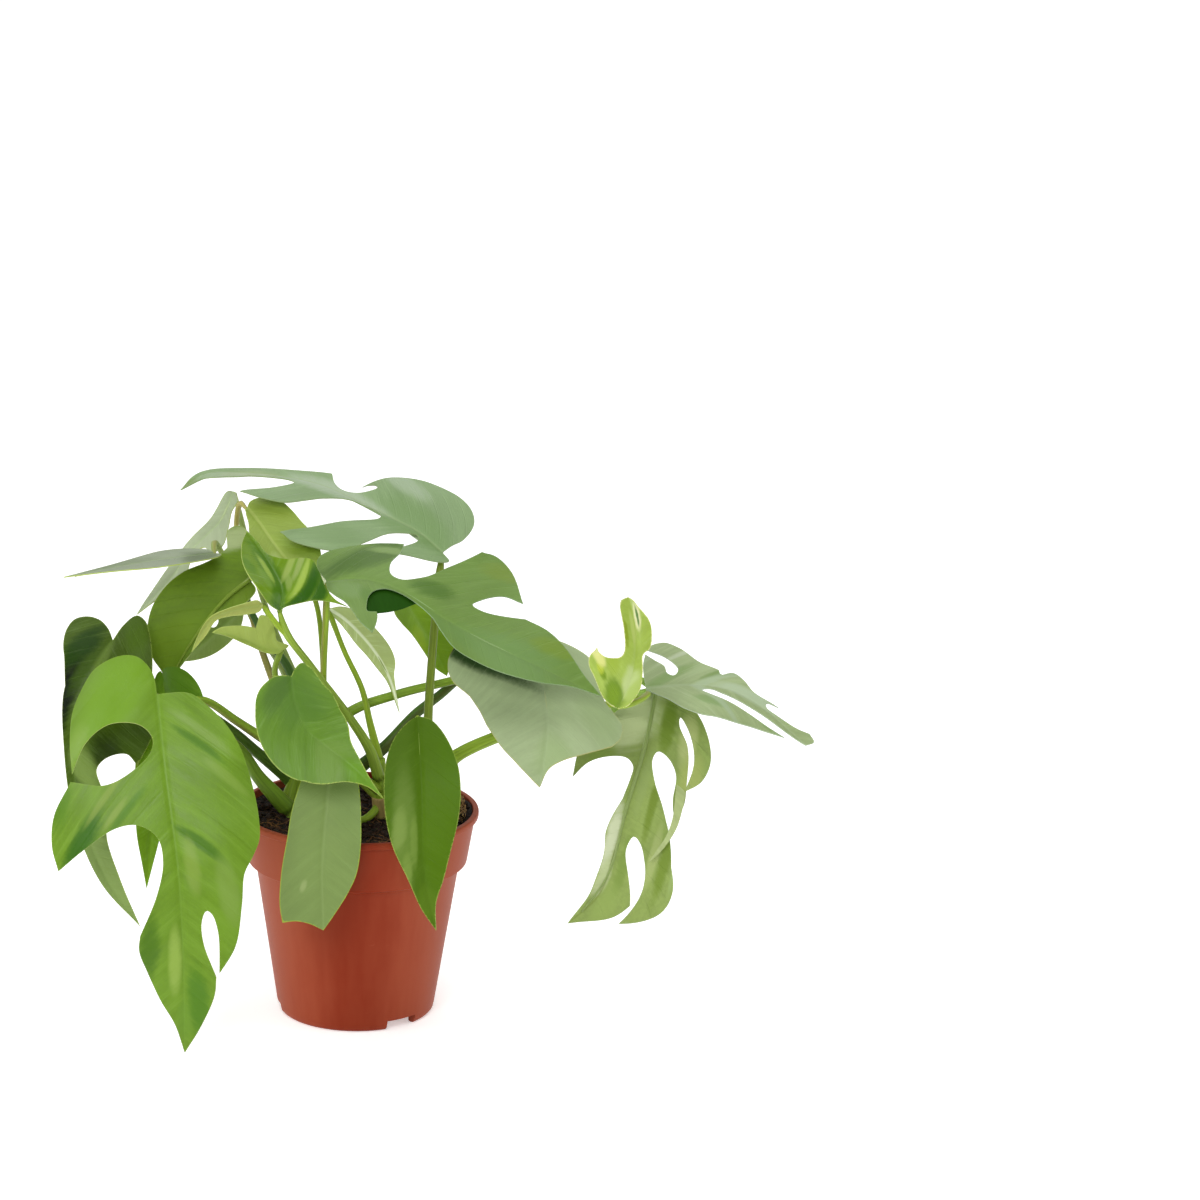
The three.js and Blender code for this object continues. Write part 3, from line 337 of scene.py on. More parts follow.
LEAVES["leaf_left_level"] = dict(
    slot="leaf_blue", stalk=[2.8, 1.4], fold=[4, 4], arch=[0.006, 0.006],
    face=[[0.05, 0.03, 1]],
    rib=[[-73, 28, 227], [-103, 6, 228], [-143, -20, 226]],
    petiole=[[-29, 17, 149], [-37, 30, 165], [-52, 40, 186], [-64, 45, 211], [-73, 42, 229]],
    right=[[[-0.01, 5], [0.08, 11], [0.25, 14.5], [0.45, 13.5], [0.72, 8], [1, 0]]],
    left=[[[-0.01, 6], [0.1, 12], [0.25, 13], [0.45, 9], [0.72, 3.5], [1, 0]]],
    look=dict(
        face="#7f8c6e", under="#a0ab93", sheen_and_pale_streaks=0.15, gloss=0.4, stalk="#8ea05a",
        patches=[[8, 6, 12, 12, "#415620", 0.8], [60, -4, 30, 4, "#5e7046", 0.6]],
    ),
)
LEAVES["leaf_back_left"] = dict(
    slot="leaf_pale", stalk=[2.8, 1.4], fold=[14, 14], arch=[0.01, 0.01],
    face=[[-0.3, -0.6, 0.7], [-0.3, -0.7, 0.6]],
    rib=[[-65, 70, 249], [-71, 62, 236], [-84, 52, 224], [-98, 46, 206], [-112, 40, 192]],
    petiole=[[-18, 34, 108], [-26, 50, 140], [-48, 62, 190], [-60, 68, 230]],
    right=[
        [[0.05, 5], [0.14, 4], [0.24, 8], [0.36, 14], [0.46, 12]],
        [[0.42, 6], [0.48, 3], [0.56, 5], [0.64, 9]],
        [[0.8, 4], [1, 0]],
    ],
    left=[[[0.01, 3], [0.13, 5], [0.3, 5], [0.5, 4.5], [0.7, 4.5], [0.9, 2], [1, 0]]],
    look=dict(face="#9da988", under="#b3c09d", sheen_and_pale_streaks=0.25, gloss=0.5, stalk="#8ea05a"),
)
LEAVES["leaf_top"] = dict(
    slot="leaf_blue", stalk=[3.2, 2], fold=[4, 4], arch=[0.004, 0.006],
    face=[[0, -0.35, 0.95], [0, -0.25, 1], [0, -0.1, 1]],
    rib=[
        [40, 20, 231], [29, 27, 239], [14, 36, 245], [-4, 44, 252], [-19, 50, 257], [-36, 55, 260],
        [-59, 60, 261], [-79, 60, 260], [-91, 54, 253],
    ],
    petiole=[[33, 1, 101], [34, 3, 130], [34, 4, 151], [36, 10, 189], [38, 16, 213]],
    right=[
        [[-0.04, 1.5], [-0.03, 6], [0.06, 18], [0.14, 27], [0.225, 38]],
        [
            [0.14, 25], [0.095, 14.5], [0.083, 6], [0.1, 3], [0.15, 8.5], [0.18, 14], [0.205, 23.5],
            [0.25, 39.5],
        ],
        [[0.32, 46], [0.42, 50.5], [0.51, 49.5]],
        [
            [0.42, 38.5], [0.34, 22], [0.25, 6], [0.26, 2], [0.33, 1.8], [0.38, 3], [0.45, 11],
            [0.56, 26.5], [0.65, 28], [0.75, 25],
        ],
        [[0.64, 16], [0.58, 5], [0.6, 3.5], [0.68, 4], [0.74, 5]],
        [[0.8, 8], [0.87, 9], [0.92, 5], [1, 0]],
    ],
    left=[
        [
            [0, 7], [-0.005, 15], [0.02, 27], [0.09, 36.5], [0.18, 40.5], [0.25, 40], [0.33, 30.5],
            [0.36, 22], [0.385, 6],
        ],
        [
            [0.37, 14], [0.345, 17.5], [0.337, 16], [0.345, 12], [0.37, 6], [0.4, 3], [0.43, 2.5],
            [0.46, 5], [0.49, 12.5],
        ],
        [[0.59, 8.5], [0.71, 6], [0.83, 4], [0.93, 3], [1, 0]],
    ],
    look=dict(
        face="#758f5e", under="#96ad82", sheen_and_pale_streaks=0.08, relief=0.05, wave=0.9, midrib=0.25, rim=0.3,
        shine=0.5, vein="#96a976", edge="#7d925e", stalk="#6a7c26", blush="#85603a",
        # painted sheen: the pale grey patches along the midrib and on the left lobe; the others make lobes
        # and the tip darker
        patches=[
            [146, 2, 9, 5, "#687e3b", 0.8], [18, -4, 24, 16, "#638344", 0.8],
            [17, -31, 14, 10, "#94a686", 0.8], [64, 0, 30, 7, "#96a68a", 0.8],
            [108, 3, 16, 6, "#87986b", 0.8], [23, 34, 24, 12, "#6c8853", 0.8],
        ],
    ),
)
LEAVES["leaf_upper_bright"] = dict(
    slot="leaf_lime", stalk=[2.6, 1.3], fold=[6, 6], arch=[0.004, 0.006],
    face=[[0.2, -0.7, 0.6], [0.3, -0.9, 0.3]],
    rib=[[-57, 35, 249], [-50, 24, 243], [-44, 14, 237], [-36, 6, 229], [-28, 2, 221]],
    petiole=[
        [-30, 16, 134], [-42, 19, 161], [-52, 30, 186], [-60, 48, 214], [-63, 54, 234], [-61, 47, 248],
    ],
    right=[
        [
            [-0.05, 3], [-0.05, 8], [0.09, 16], [0.25, 18], [0.43, 19], [0.73, 18], [0.92, 15], [1.01, 8],
            [1, 0],
        ],
    ],
    left=[[[0.06, 2.5], [0.2, 5], [0.34, 8], [0.5, 10], [0.67, 8], [0.84, 5.5], [1, 0]]],
    look=dict(
        face="#7e9336", under="#9bad59", gloss=0.45, midrib=0.4, vein="#a3b261", stalk="#9a9450",
        patches=[[30, 10, 12, 8, "#69841a", 0.7], [39, -6, 8, 5, "#9bad68", 0.7]],
    ),
)
LEAVES["leaf_middle"] = dict(
    slot="leaf_deep", stalk=[3.2, 1.8], fold=[24, 24], arch=[0.004, 0.004],
    face=[[0.1, -0.75, 0.6], [0.1, -0.8, 0.5]],
    rib=[[-39, -30, 213], [-38, -24, 222], [-43, -12, 230], [-49, -4, 237], [-56, 2, 245]],
    petiole=[[10, -2, 121], [5, -6, 137], [-5, -9, 154], [-24, -20, 183], [-36, -28, 202]],
    right=[[[0.02, 4.5], [0.05, 7.5], [0.19, 14], [0.48, 15], [0.7, 13], [0.88, 8], [1, 0]]],
    left=[
        [[0.04, 2], [0.08, 7], [0.12, 15], [0.12, 24], [0.1, 34]],
        [
            [0.14, 26], [0.2, 21], [0.27, 19.5], [0.34, 19], [0.39, 17], [0.49, 9.5], [0.57, 5],
            [0.69, 1.3], [0.85, 1], [1, 0],
        ],
    ],
    look=dict(
        face="#5d7d0f", under="#6c8f2e", gloss=0.22, wave=0.9, rim=0.1, midrib=0.05, veins=0.0,
        stalk="#86a038",
        # painted shade: the dark valley of the fold and the dark left half; painted highlights: a bright
        # line along the fold and thin glossy streaks on the left half
        patches=[
            [15, 2, 30, 5, "#3e6709", 0.9], [13, 7, 9, 2.5, "#66872d", 0.9],
            [22, 4, 12, 1.5, "#8ca543", 0.8], [20, 12, 9, 3, "#4d730f", 0.8],
            [0, -10, 4, 14, "#274f04", 1.0], [-6, -20, 5, 8, "#295104", 1.0],
            [6, -11, 2.2, 8, "#88a03e", 1.0], [11, -14, 2.5, 9, "#80934a", 0.95],
            [17, -8, 3, 8, "#859947", 0.9], [12, -4, 4, 2, "#778e3e", 0.8],
        ],
    ),
)
LEAVES["leaf_centre_right"] = dict(
    slot="leaf_blue", stalk=[2.6, 1.6], fold=[4, 6], arch=[0.006, 0.006],
    face=[[0, -0.45, 0.9], [0.1, -0.6, 0.8], [0.1, -0.75, 0.7]],
    rib=[
        [-17, -20, 226], [2, -28, 229], [20, -35, 225], [38, -42, 215], [58, -48, 205], [81, -55, 196],
        [115, -64, 182],
    ],
    petiole=[[11, 1, 108], [-4, 8, 122], [-17, 7, 146], [-18, -6, 172], [-17, -18, 206]],
    right=[
        [[-0.05, 9], [-0.06, 17], [-0.03, 22.5], [0.03, 25], [0.1, 26], [0.19, 29.4]],
        [[0.197, 22], [0.19, 13], [0.21, 6.5], [0.25, 6], [0.3, 13.5], [0.335, 28], [0.38, 47.5]],
        [[0.45, 50], [0.53, 46], [0.63, 29.4]],
        [[0.56, 28.5], [0.5, 19.5], [0.485, 15], [0.525, 14.5], [0.665, 21]],
        [[0.75, 19.5], [0.83, 14.5], [0.92, 6], [1, 0]],
    ],
    left=[
        [[0.02, 7], [0.055, 12], [0.1, 16.5], [0.14, 21], [0.21, 28.5], [0.275, 31.3]],
        [[0.267, 26], [0.255, 21.5], [0.242, 19]],
        [
            [0.209, 20.5], [0.193, 16.5], [0.184, 11.5], [0.19, 7.1], [0.214, 3.6], [0.24, 2.4],
            [0.27, 2.1], [0.3, 2.1], [0.326, 2.2],
        ],
        [
            [0.37, 2.7], [0.408, 4.2], [0.454, 8.4], [0.514, 12.6], [0.6, 13.2], [0.7, 12.4], [0.8, 8.8],
            [0.9, 2.6], [1, 0],
        ],
    ],
    lap=dict(
        runs=[
            [[0.15, 14], [0.16, 3], [0.2, -2.5], [0.29, -3.5], [0.335, -1]],
            [[0.324, 3.5], [0.308, 8.8], [0.288, 12.8], [0.264, 16], [0.242, 18.4]],
            [[0.2, 20], [0.17, 20.5]],
        ],
        rise=[0.0, 0.1, -1.6],
    ),
    look=dict(
        face="#607d35", under="#7e9a57", sheen_and_pale_streaks=0.25, rim=0.4, relief=0.1, wave=1.4, midrib=0.06,
        # lap: the curled lobe painted near-black green for the shade it lies in
        edge="#7a9466", pale="#869d66", lap="#1c4206",
        # painted sheen: the grey patches on the near lobe; the other patches make parts darker or lighter,
        # a pale wedge among them that carries on the leaf behind
        patches=[
            [9, -8, 10, 7, "#698449", 0.9], [-4, -24, 10, 9, "#788e4e", 0.9],
            [2, 14, 15, 13, "#436021", 0.9], [20, -12, 6, 6, "#4d6f23", 0.7],
            [43, 10, 10, 7, "#3c5e14", 0.7], [99, -3, 30, 13, "#628245", 0.7],
            [110, 13, 13, 6, "#678028", 0.9], [36, 44, 14, 9, "#69802d", 0.8],
            [6, 22, 9, 3, "#708a4b", 0.9], [-3, 27, 10, 2.5, "#43621b", 0.9],
            [62, -5, 20, 5, "#577834", 0.5],
        ],
    ),
)
LEAVES["leaf_right_broad"] = dict(
    slot="leaf_blue", stalk=[3.4, 2], fold=[4, 4], arch=[0.002, 0.003],
    face=[[0, -0.75, 0.65], [0, -0.95, 0.3]],
    rib=[[85, -24, 194], [89, -42, 178], [90, -60, 164], [86, -80, 141]],
    petiole=[[-29, 14, 117], [-7, 15, 148], [18, 18, 158], [43, 21, 164], [68, 4, 176], [80, -12, 189]],
    right=[
        [
            [-0.05, 6], [-0.03, 12], [0.07, 21], [0.17, 26], [0.42, 28], [0.5, 32], [0.57, 36],
            [0.63, 35.5], [0.68, 31.5],
        ],
        [[0.74, 19], [0.8, 9], [0.87, 3], [1, 0]],
    ],
    left=[
        [
            [-0.08, 6.5], [-0.16, 20], [-0.165, 32], [-0.07, 40], [0.04, 44], [0.14, 43], [0.27, 37.5],
            [0.43, 33], [0.64, 28.5], [0.77, 22], [0.87, 13], [1, 0],
        ],
    ],
    look=dict(
        face="#8f9f75", under="#9dad83", relief=0.06, sheen_and_pale_streaks=0.08, gloss=0.45, veins=0.1, rim=0.3,
        vein="#a2b28b", edge="#aaa35d", stalk="#7c9a30", blush="#7d4a30",
        patches=[[61, 8, 16, 14, "#899f68", 0.6], [20, 25, 14, 12, "#839666", 0.6]],
        shadow=[[24, -34, 7.5, 34, "#1f3a0a", 1.0]],
    ),
)
LEAVES["leaf_front_centre"] = dict(
    slot="leaf_fresh", stalk=[2.8, 1.5], fold=[6, 8], arch=[0.006, 0.008],
    face=[[-0.1, -0.8, 0.6], [-0.05, -1, 0.35]],
    rib=[
        [-33, -42, 184], [-31, -50, 174], [-25, -60, 163], [-13, -68, 155], [-2, -74, 148],
        [12, -78, 134],
    ],
    petiole=[[10, -1, 114], [-4, -10, 128], [-22, -22, 159], [-31, -36, 177]],
    right=[
        [
            [-0.05, 3], [-0.07, 6], [-0.04, 9], [0.05, 13.5], [0.23, 18.5], [0.5, 16.5], [0.65, 8],
            [0.82, 2.5], [1, 0],
        ],
    ],
    left=[
        [
            [-0.01, 4], [-0.01, 8], [0.03, 13], [0.1, 17.5], [0.28, 22], [0.44, 23], [0.55, 20.5],
            [0.67, 15], [0.78, 7], [0.88, 2], [1, 0],
        ],
    ],
    look=dict(
        face="#4f730d", under="#709437", contrast=0.1, sheen_and_pale_streaks=0.12, veins=0.0, midrib=0.03, rim=0.6,
        gloss=0.4, relief=0.03,
        patches=[
            [12, 2, 16, 13, "#436710", 0.8], [3, -8, 8, 9, "#38590f", 0.7],
            [46, -7, 10, 16, "#628032", 0.7], [66, 0, 12, 8, "#5d871b", 0.7],
        ],
    ),
)
LEAVES["leaf_front_low"] = dict(
    slot="leaf_under", stalk=[2.2, 1.5], fold=[4, 4], arch=[0.004, 0.004],
    face=[[0, -1, 0.3], [0, -1, 0.2]],
    rib=[[-13, -46, 151], [-15, -60, 127], [-17, -70, 98], [-16, -76, 67]],
    petiole=[[11, 1, 107], [6, -5, 102], [-1, -13, 102], [-8, -30, 120], [-12, -41, 143]],
    right=[
        [
            [0.02, 6], [0.1, 12], [0.21, 14.5], [0.39, 17], [0.55, 18], [0.7, 16.5], [0.81, 12],
            [0.91, 6], [1, 0],
        ],
    ],
    left=[
        [
            [0.03, 7], [0.12, 11], [0.24, 14], [0.38, 16.5], [0.53, 17.5], [0.7, 19.5], [0.85, 20.5],
            [0.95, 19.5],
        ],
        [[0.945, 13], [0.96, 7], [1, 0]],
    ],
    look=dict(
        face="#6c8243", under="#7a924e", relief=0.02, wave=0.5, veins=0.02, midrib=0.22, gloss=0.5,
        contrast=0.07, sheen_and_pale_streaks=0.03, rim=0.9, vein="#869a5d", edge="#8ca233",
        patches=[[63, -9, 3, 2, "#8f9e64", 0.6], [20, 8, 16, 6, "#677f3f", 0.5]],
    ),
)
LEAVES["leaf_front_right"] = dict(
    slot="leaf_deep", stalk=[2.8, 1.6], fold=[10, 10], arch=[0.008, 0.008],
    face=[[0, -0.9, 0.5], [0, -1, 0.2]],
    rib=[[28, -40, 164], [30, -60, 134], [32, -74, 94], [38, -78, 68]],
    petiole=[[32, 1, 102], [32, -10, 127], [29, -34, 160]],
    right=[
        [
            [0.02, 6], [0.09, 12], [0.24, 18], [0.36, 19], [0.49, 17.5], [0.62, 14], [0.77, 9], [0.88, 3],
            [1, 0],
        ],
    ],
    left=[
        [
            [0.03, 5], [0.1, 11.5], [0.2, 16], [0.33, 18], [0.47, 17.5], [0.6, 14.5], [0.75, 8], [0.9, 4],
            [1, 0],
        ],
    ],
    look=dict(
        face="#466314", under="#5d7d2e", gloss=0.34, contrast=0.1, midrib=0.0, sheen_and_pale_streaks=0.25, veins=0.0,
        relief=0.02, rim=0.4, shine=0.06, pale="#647c35",
        # painted light: the left half paler, with sheen streaks; the right half painted darker as it turns
        # from the lamps
        patches=[
            [40, 8, 60, 10, "#486809", 0.7], [12, 16, 20, 7, "#486a09", 0.6],
            [50, -9, 34, 6, "#607932", 0.85], [6, -10, 18, 7, "#4e6a1e", 0.5],
            [49, -11, 11, 4, "#798f48", 0.6], [70, -8, 8, 3, "#6e863b", 0.8],
            [60, -4, 14, 2, "#6e863b", 0.6], [92, 0, 10, 8, "#537019", 0.6],
        ],
    ),
)
LEAVES["leaf_right_far"] = dict(
    slot="leaf_pale", stalk=[2.2, 1.6], fold=[6, 6], arch=[0.004, 0.004],
    face=[[0, -0.45, 0.9], [0.2, -0.5, 0.85]],
    rib=[[141, -6, 170], [162, -14, 174], [180, -20, 174], [196, -26, 167], [218, -36, 150]],
    petiole=[[92, -12, 153], [104, -15, 150], [119, -9, 155], [134, -5, 165]],
    right=[
        [[-0.03, 9], [-0.05, 17], [-0.055, 24.5]],
        [[0.02, 18.5], [0.085, 13.5], [0.11, 8.5], [0.155, 6.5], [0.17, 10], [0.07, 20.5], [-0.05, 27.5]],
        [[-0.03, 31], [0.04, 32], [0.15, 26], [0.27, 16], [0.39, 11]],
        [[0.41, 8], [0.46, 11], [0.52, 9], [0.6, 5], [0.75, 6]],
        [[0.69, 3.5], [0.7, 1.5], [0.8, 2], [0.9, 4], [0.97, 7]],
        [[1.02, 5], [1, 0]],
    ],
    left=[
        [[0.04, 4], [0.15, 11], [0.27, 19], [0.4, 23.5], [0.58, 22], [0.75, 15], [0.89, 6.5]],
        [
            [0.75, 9.5], [0.58, 10], [0.42, 8], [0.33, 4], [0.38, 3], [0.46, 5], [0.62, 5.5], [0.78, 4],
            [0.92, 2], [1, 0],
        ],
    ],
    look=dict(
        face="#8c9d6d", under="#a8b78c", sheen_and_pale_streaks=0.5, midrib=0.3, slant=1.4, contrast=0.1, vein="#a3b38f",
        pale="#a9b695", edge="#a1b195", stalk="#86a84a",
        # painted highlights: the pale patches at the upper edges and along the midrib; the darker patches
        # make green stripes
        patches=[
            [2, 6, 7, 9, "#789254", 0.9], [-18, 27, 4, 14, "#a9b494", 0.9],
            [12, 12, 4, 8, "#93a476", 0.8], [24, 10, 5, 7, "#6c8646", 0.9],
            [22, -12, 10, 4, "#738f52", 0.8], [27, -4, 4, 22, "#97a886", 0.8],
            [50, 2, 20, 4, "#a1b192", 0.8], [62, -8, 20, 3, "#759054", 0.7],
        ],
    ),
)
LEAVES["leaf_right_hanging"] = dict(
    slot="leaf_under", stalk=[2.6, 1.8], fold=[4, 4], arch=[0.004, 0.004],
    face=[[0.1, 0.9, -0.5], [0, 1, -0.2]],
    rib=[
        [147, 4, 165], [144, -8, 154], [140, -18, 141], [135, -26, 128], [131, -33, 115], [126, -40, 97],
        [118, -45, 75], [103, -47, 61],
    ],
    petiole=[[105, -12, 158], [116, -4, 165], [128, 1, 168], [139, 4, 171]],
    right=[
        [[0, 8], [0.05, 17], [0.17, 25], [0.31, 30.5], [0.43, 29.5]],
        [[0.37, 24.5], [0.32, 15], [0.305, 7], [0.33, 2.5], [0.38, 2], [0.46, 3]],
        [[0.54, 6], [0.6, 7], [0.68, 5], [0.8, 5], [0.9, 3], [1, 0]],
    ],
    left=[
        [[-0.01, 7], [0.02, 15], [0.08, 23], [0.16, 30], [0.24, 33.5], [0.3, 32], [0.36, 25.5]],
        [
            [0.25, 25.5], [0.15, 20], [0.095, 14], [0.13, 14.5], [0.2, 20.5], [0.28, 23.8], [0.4, 27],
            [0.45, 26.5], [0.49, 24.5],
        ],
        [
            [0.45, 22.3], [0.41, 21], [0.31, 19], [0.26, 13], [0.245, 7], [0.28, 5.5], [0.36, 10],
            [0.45, 17], [0.54, 23], [0.66, 29], [0.75, 33], [0.8, 31.5], [0.87, 16.5],
        ],
        [[0.77, 18.5], [0.68, 16], [0.61, 11], [0.59, 7], [0.64, 5], [0.74, 10], [0.82, 16]],
        [[0.86, 13], [0.93, 6], [1, 0]],
    ],
    lap=dict(
        runs=[
            [[0.36, 25.4], [0.4, 26.6], [0.45, 26.9], [0.526, 26.3], [0.602, 22.7], [0.664, 17.1]],
            [[0.616, 19.4], [0.567, 22], [0.5, 23.2], [0.43, 22.4], [0.38, 21.4], [0.34, 20.6]],
        ],
        rise=[0.34, 0.5, -3.5],
    ),
    look=dict(
        face="#83974b", under="#80934c", relief=0.12, veins=0.0, midrib=0.9, rim=0.35, slant=0.35,
        contrast=0.1, vein="#69772f", edge="#8c9f69", lap="#a0ad76", stalk="#86a84a",
        # painted light: the upper part painted paler to make up for the shade of the leaves above it, and
        # pale bands of light shining through beside the midrib; darker bands between them
        under_patches=[
            [13, 9, 20, 14, "#b4c18e", 0.95], [16, -9, 16, 4, "#647c22", 0.9],
            [14, -20, 14, 5, "#a1ac6e", 0.9], [30, -27, 14, 7, "#95a258", 0.9],
            [36, 19, 10, 7, "#768d3e", 0.8], [78, 3.5, 20, 3.5, "#bbc39f", 1.0],
            [100, 2, 12, 3.5, "#acb886", 0.95], [48, -5, 18, 3, "#869956", 0.9],
            [56, -12, 20, 2.5, "#687e27", 0.95], [90, -6, 18, 3, "#748b3e", 0.9],
            [76, -19, 18, 2.5, "#97a664", 0.95], [74, -25, 20, 3, "#6b822c", 0.95],
            [66, -31, 18, 2, "#8fa464", 0.9], [110, -6, 10, 6, "#869b4f", 0.7],
        ],
    ),
)
LEAVES["leaf_furled"] = dict(
    slot="leaf_lime", stalk=[2, 1.5], fold=[14, 14], arch=[0.03, 0.03],
    face=[[0.1, -1, 0.1], [0.2, -1, 0]],
    rib=[[123, -68, 177], [128, -68, 190], [131, -66, 203], [130, -62, 217], [127, -56, 229]],
    petiole=[[113, -13, 161], [127, -15, 165], [137, -24, 170], [139, -42, 177], [133, -58, 178]],
    right=[
        [[0.01, 4.4], [0.05, 9.4], [0.14, 14.7], [0.22, 18.3], [0.31, 22], [0.41, 22.4], [0.57, 19.4]],
        [
            [0.48, 18], [0.435, 15], [0.437, 11.4], [0.46, 8], [0.51, 6.4], [0.7, 5.8], [0.83, 5.7],
            [0.93, 5.2], [0.98, 4], [1, 0],
        ],
    ],
    left=[
        [
            [0.05, 3.5], [0.145, 5.2], [0.245, 5.9], [0.38, 4.4], [0.5, 3.2], [0.55, 6.4], [0.65, 7.7],
            [0.76, 7.5], [0.835, 5.5], [0.9, 3.5], [0.965, 2], [1, 0],
        ],
    ],
    look=dict(
        face="#8fa544", under="#afc661", relief=0.15, spacing=7.0, wave=1.2, sheen_and_pale_streaks=0.03, gloss=0.22,
        midrib=0.0, rim=0.9, contrast=0.1, edge="#c3c684",
        # painted highlights: the pale streaks; painted shade: the dark core of the closed slit; the ball
        # darker green; the cream tip, the slit's cream edges and the brown point are its own colour
        patches=[
            [14, 0, 8, 4.5, "#a9ba76", 1.0], [10, -3, 6, 3, "#99ae57", 0.9], [2, 5, 7, 7, "#597906", 1.0],
            [2, 5, 5, 5, "#69870c", 1.0], [3, 14, 2.5, 3, "#658209", 1.0],
            [4, 16, 3, 2.5, "#a4b336", 0.9], [8, 18, 4.5, 4, "#c3c676", 1.0],
            [15, 11, 8, 4, "#8aa12f", 0.7], [35, 5, 8, 1.2, "#788c21", 0.9],
            [40, 1, 9, 1.4, "#a0b157", 0.8], [46, -2, 7, 1.7, "#c9ca93", 1.0],
            [46, -2, 5.5, 0.7, "#476d1d", 1.0], [16, 19.5, 1.2, 1.2, "#5e4d2d", 1.0],
        ],
    ),
)
LEAVES["leaf_back_variegated"] = dict(
    slot="leaf_striped", stalk=[2.4, 1.3], fold=[18, 18], arch=[0.01, 0.01],
    face=[[0.2, -0.9, 0.4], [0.4, -0.9, 0.1]],
    rib=[
        [-16, 14, 203], [-9, 16, 198], [-2, 18, 191], [5, 18, 183], [11, 18, 174], [15, 16, 166],
        [20, 12, 150],
    ],
    petiole=[[10, 1, 129], [5, 4, 148], [1, 3, 165], [-8, 5, 184], [-15, 12, 200]],
    right=[[[0.07, 4], [0.19, 7], [0.33, 7.5], [0.55, 7.5], [0.64, 6], [0.71, 3], [0.8, 1.5], [1, 0]]],
    left=[[[0.02, 2], [0.1, 3], [0.23, 4.5], [0.36, 5.5], [0.48, 5], [0.62, 4], [0.75, 2], [1, 0]]],
    look=dict(face="#bacb81", under="#a5b474", sheen_and_pale_streaks=0.6, midrib=0.9, vein="#f3fbda", pale="#ecf7cd"),
)
LEAVES["leaf_back_right"] = dict(
    slot="leaf_lime", stalk=[4.6, 2], fold=[6, 6], arch=[0.004, 0.004],
    face=[[0.3, -0.9, 0.3], [0.2, -0.9, 0.2]],
    rib=[[22, 42, 202], [28, 44, 191], [35, 46, 179], [44, 46, 160]],
    petiole=[
        [-15, 31, 106], [-8, 20, 111], [1, 16, 121], [13, 21, 130], [28, 28, 145], [44, 34, 157],
        [59, 40, 173], [51, 44, 192], [36, 45, 202],
    ],
    right=[[[0.04, 8], [0.22, 15], [0.46, 15.5], [0.64, 12.5], [0.82, 7], [1, 0]]],
    left=[[[-0.01, 6.5], [0.06, 9], [0.2, 8.5], [0.35, 7], [0.6, 6], [0.85, 4], [1, 0]]],
    look=dict(
        face="#759a0d", under="#6f8d2e", stalk="#456420", blush="#4a4620",
        patches=[[1, -6, 9, 8, "#688c0e", 0.6], [21, -5, 8, 4, "#8eab1f", 0.7]],
    ),
)
LEAVES["leaf_back_low"] = dict(
    slot="leaf_pale", stalk=[2.6, 1.4], fold=[6, 6], arch=[0.004, 0.004],
    face=[[0.2, -0.7, 0.6]],
    rib=[[-59, 52, 194], [-68, 50, 185], [-77, 48, 177], [-91, 46, 166]],
    petiole=[[-17, 33, 118], [-32, 42, 148], [-48, 50, 178]],
    right=[[[0.1, 4], [0.25, 7.5], [0.45, 8.5], [0.66, 7.5], [0.86, 4], [1, 0]]],
    left=[
        [[0.1, 5], [0.24, 8], [0.36, 9]],
        [[0.33, 4], [0.42, 2.5], [0.5, 7]],
        [[0.69, 5], [0.84, 3], [1, 0]],
    ],
    look=dict(face="#7d9348", under="#6d8140", relief=0.05, wave=0.5),
)
LEAVES["leaf_striped"] = dict(
    slot="leaf_striped", stalk=[2.4, 1.3], fold=[6, 6], arch=[0.004, 0.004],
    face=[[0.1, -0.6, 0.8]],
    rib=[[-35, 20, 228], [-29, 16, 224], [-23, 12, 220], [-16, 8, 216]],
    petiole=[[-17, 33, 121], [-18, 31, 151], [-19, 27, 178], [-22, 24, 202], [-29, 21, 220]],
    right=[[[0.06, 3.5], [0.29, 6], [0.52, 5.5], [0.78, 4], [1, 0]]],
    left=[[[-0.05, 5], [0.11, 8], [0.35, 8.5], [0.6, 7.5], [0.84, 5], [1, 0]]],
    look=dict(
        face="#ffffe7", under="#76884d", sheen_and_pale_streaks=0.6, midrib=0.6, vein="#dce7bf", pale="#d6e1b4",
        relief=0.05, wave=0.5,
    ),
)
LEAVES["leaf_young_boat"] = dict(
    slot="leaf_lime", stalk=[2.2, 1.5], fold=[25, 25], arch=[0.01, 0.01],
    face=[[0, -1, 0.2]],
    rib=[[-38, -6, 187], [-46, -7, 188], [-54, -9, 192], [-63, -12, 196], [-72, -15, 198]],
    petiole=[[-30, 13, 148], [-38, 8, 161], [-42, 3, 173], [-40, -3, 183]],
    right=[[[0.06, 2], [0.3, 2.2], [0.6, 2], [1, 0]]],
    left=[
        [[-0.07, 2.6], [0.09, 5], [0.14, 10], [0.35, 15], [0.45, 16], [0.53, 15], [0.51, 11], [0.49, 8]],
        [[0.63, 7], [0.77, 5], [0.91, 3], [1, 0]],
    ],
    look=dict(face="#a0b254", under="#a2b35a", relief=0.05, wave=0.5, stalk="#86a038"),
)
LEAVES["leaf_young_curled"] = dict(
    slot="leaf_lime", stalk=[1.6, 1.4], fold=[30, 30], arch=[0.05, 0.05],
    face=[[0, -1, 0.3], [-0.3, -1, 0]],
    rib=[
        [-47, -31, 216], [-55, -32, 215], [-64, -33, 213], [-71, -34, 210], [-77, -35, 201],
        [-81, -36, 194],
    ],
    petiole=[[-35, -27, 200], [-40, -30, 206]],
    right=[[[0.05, 3], [0.2, 3.5], [0.5, 2], [0.75, 2.5], [1, 0]]],
    left=[[[0.05, 3], [0.2, 2.5], [0.5, 1.5], [0.75, 1.5], [1, 0]]],
    look=dict(face="#899245", under="#a7b062", relief=0.05, wave=0.5),
)

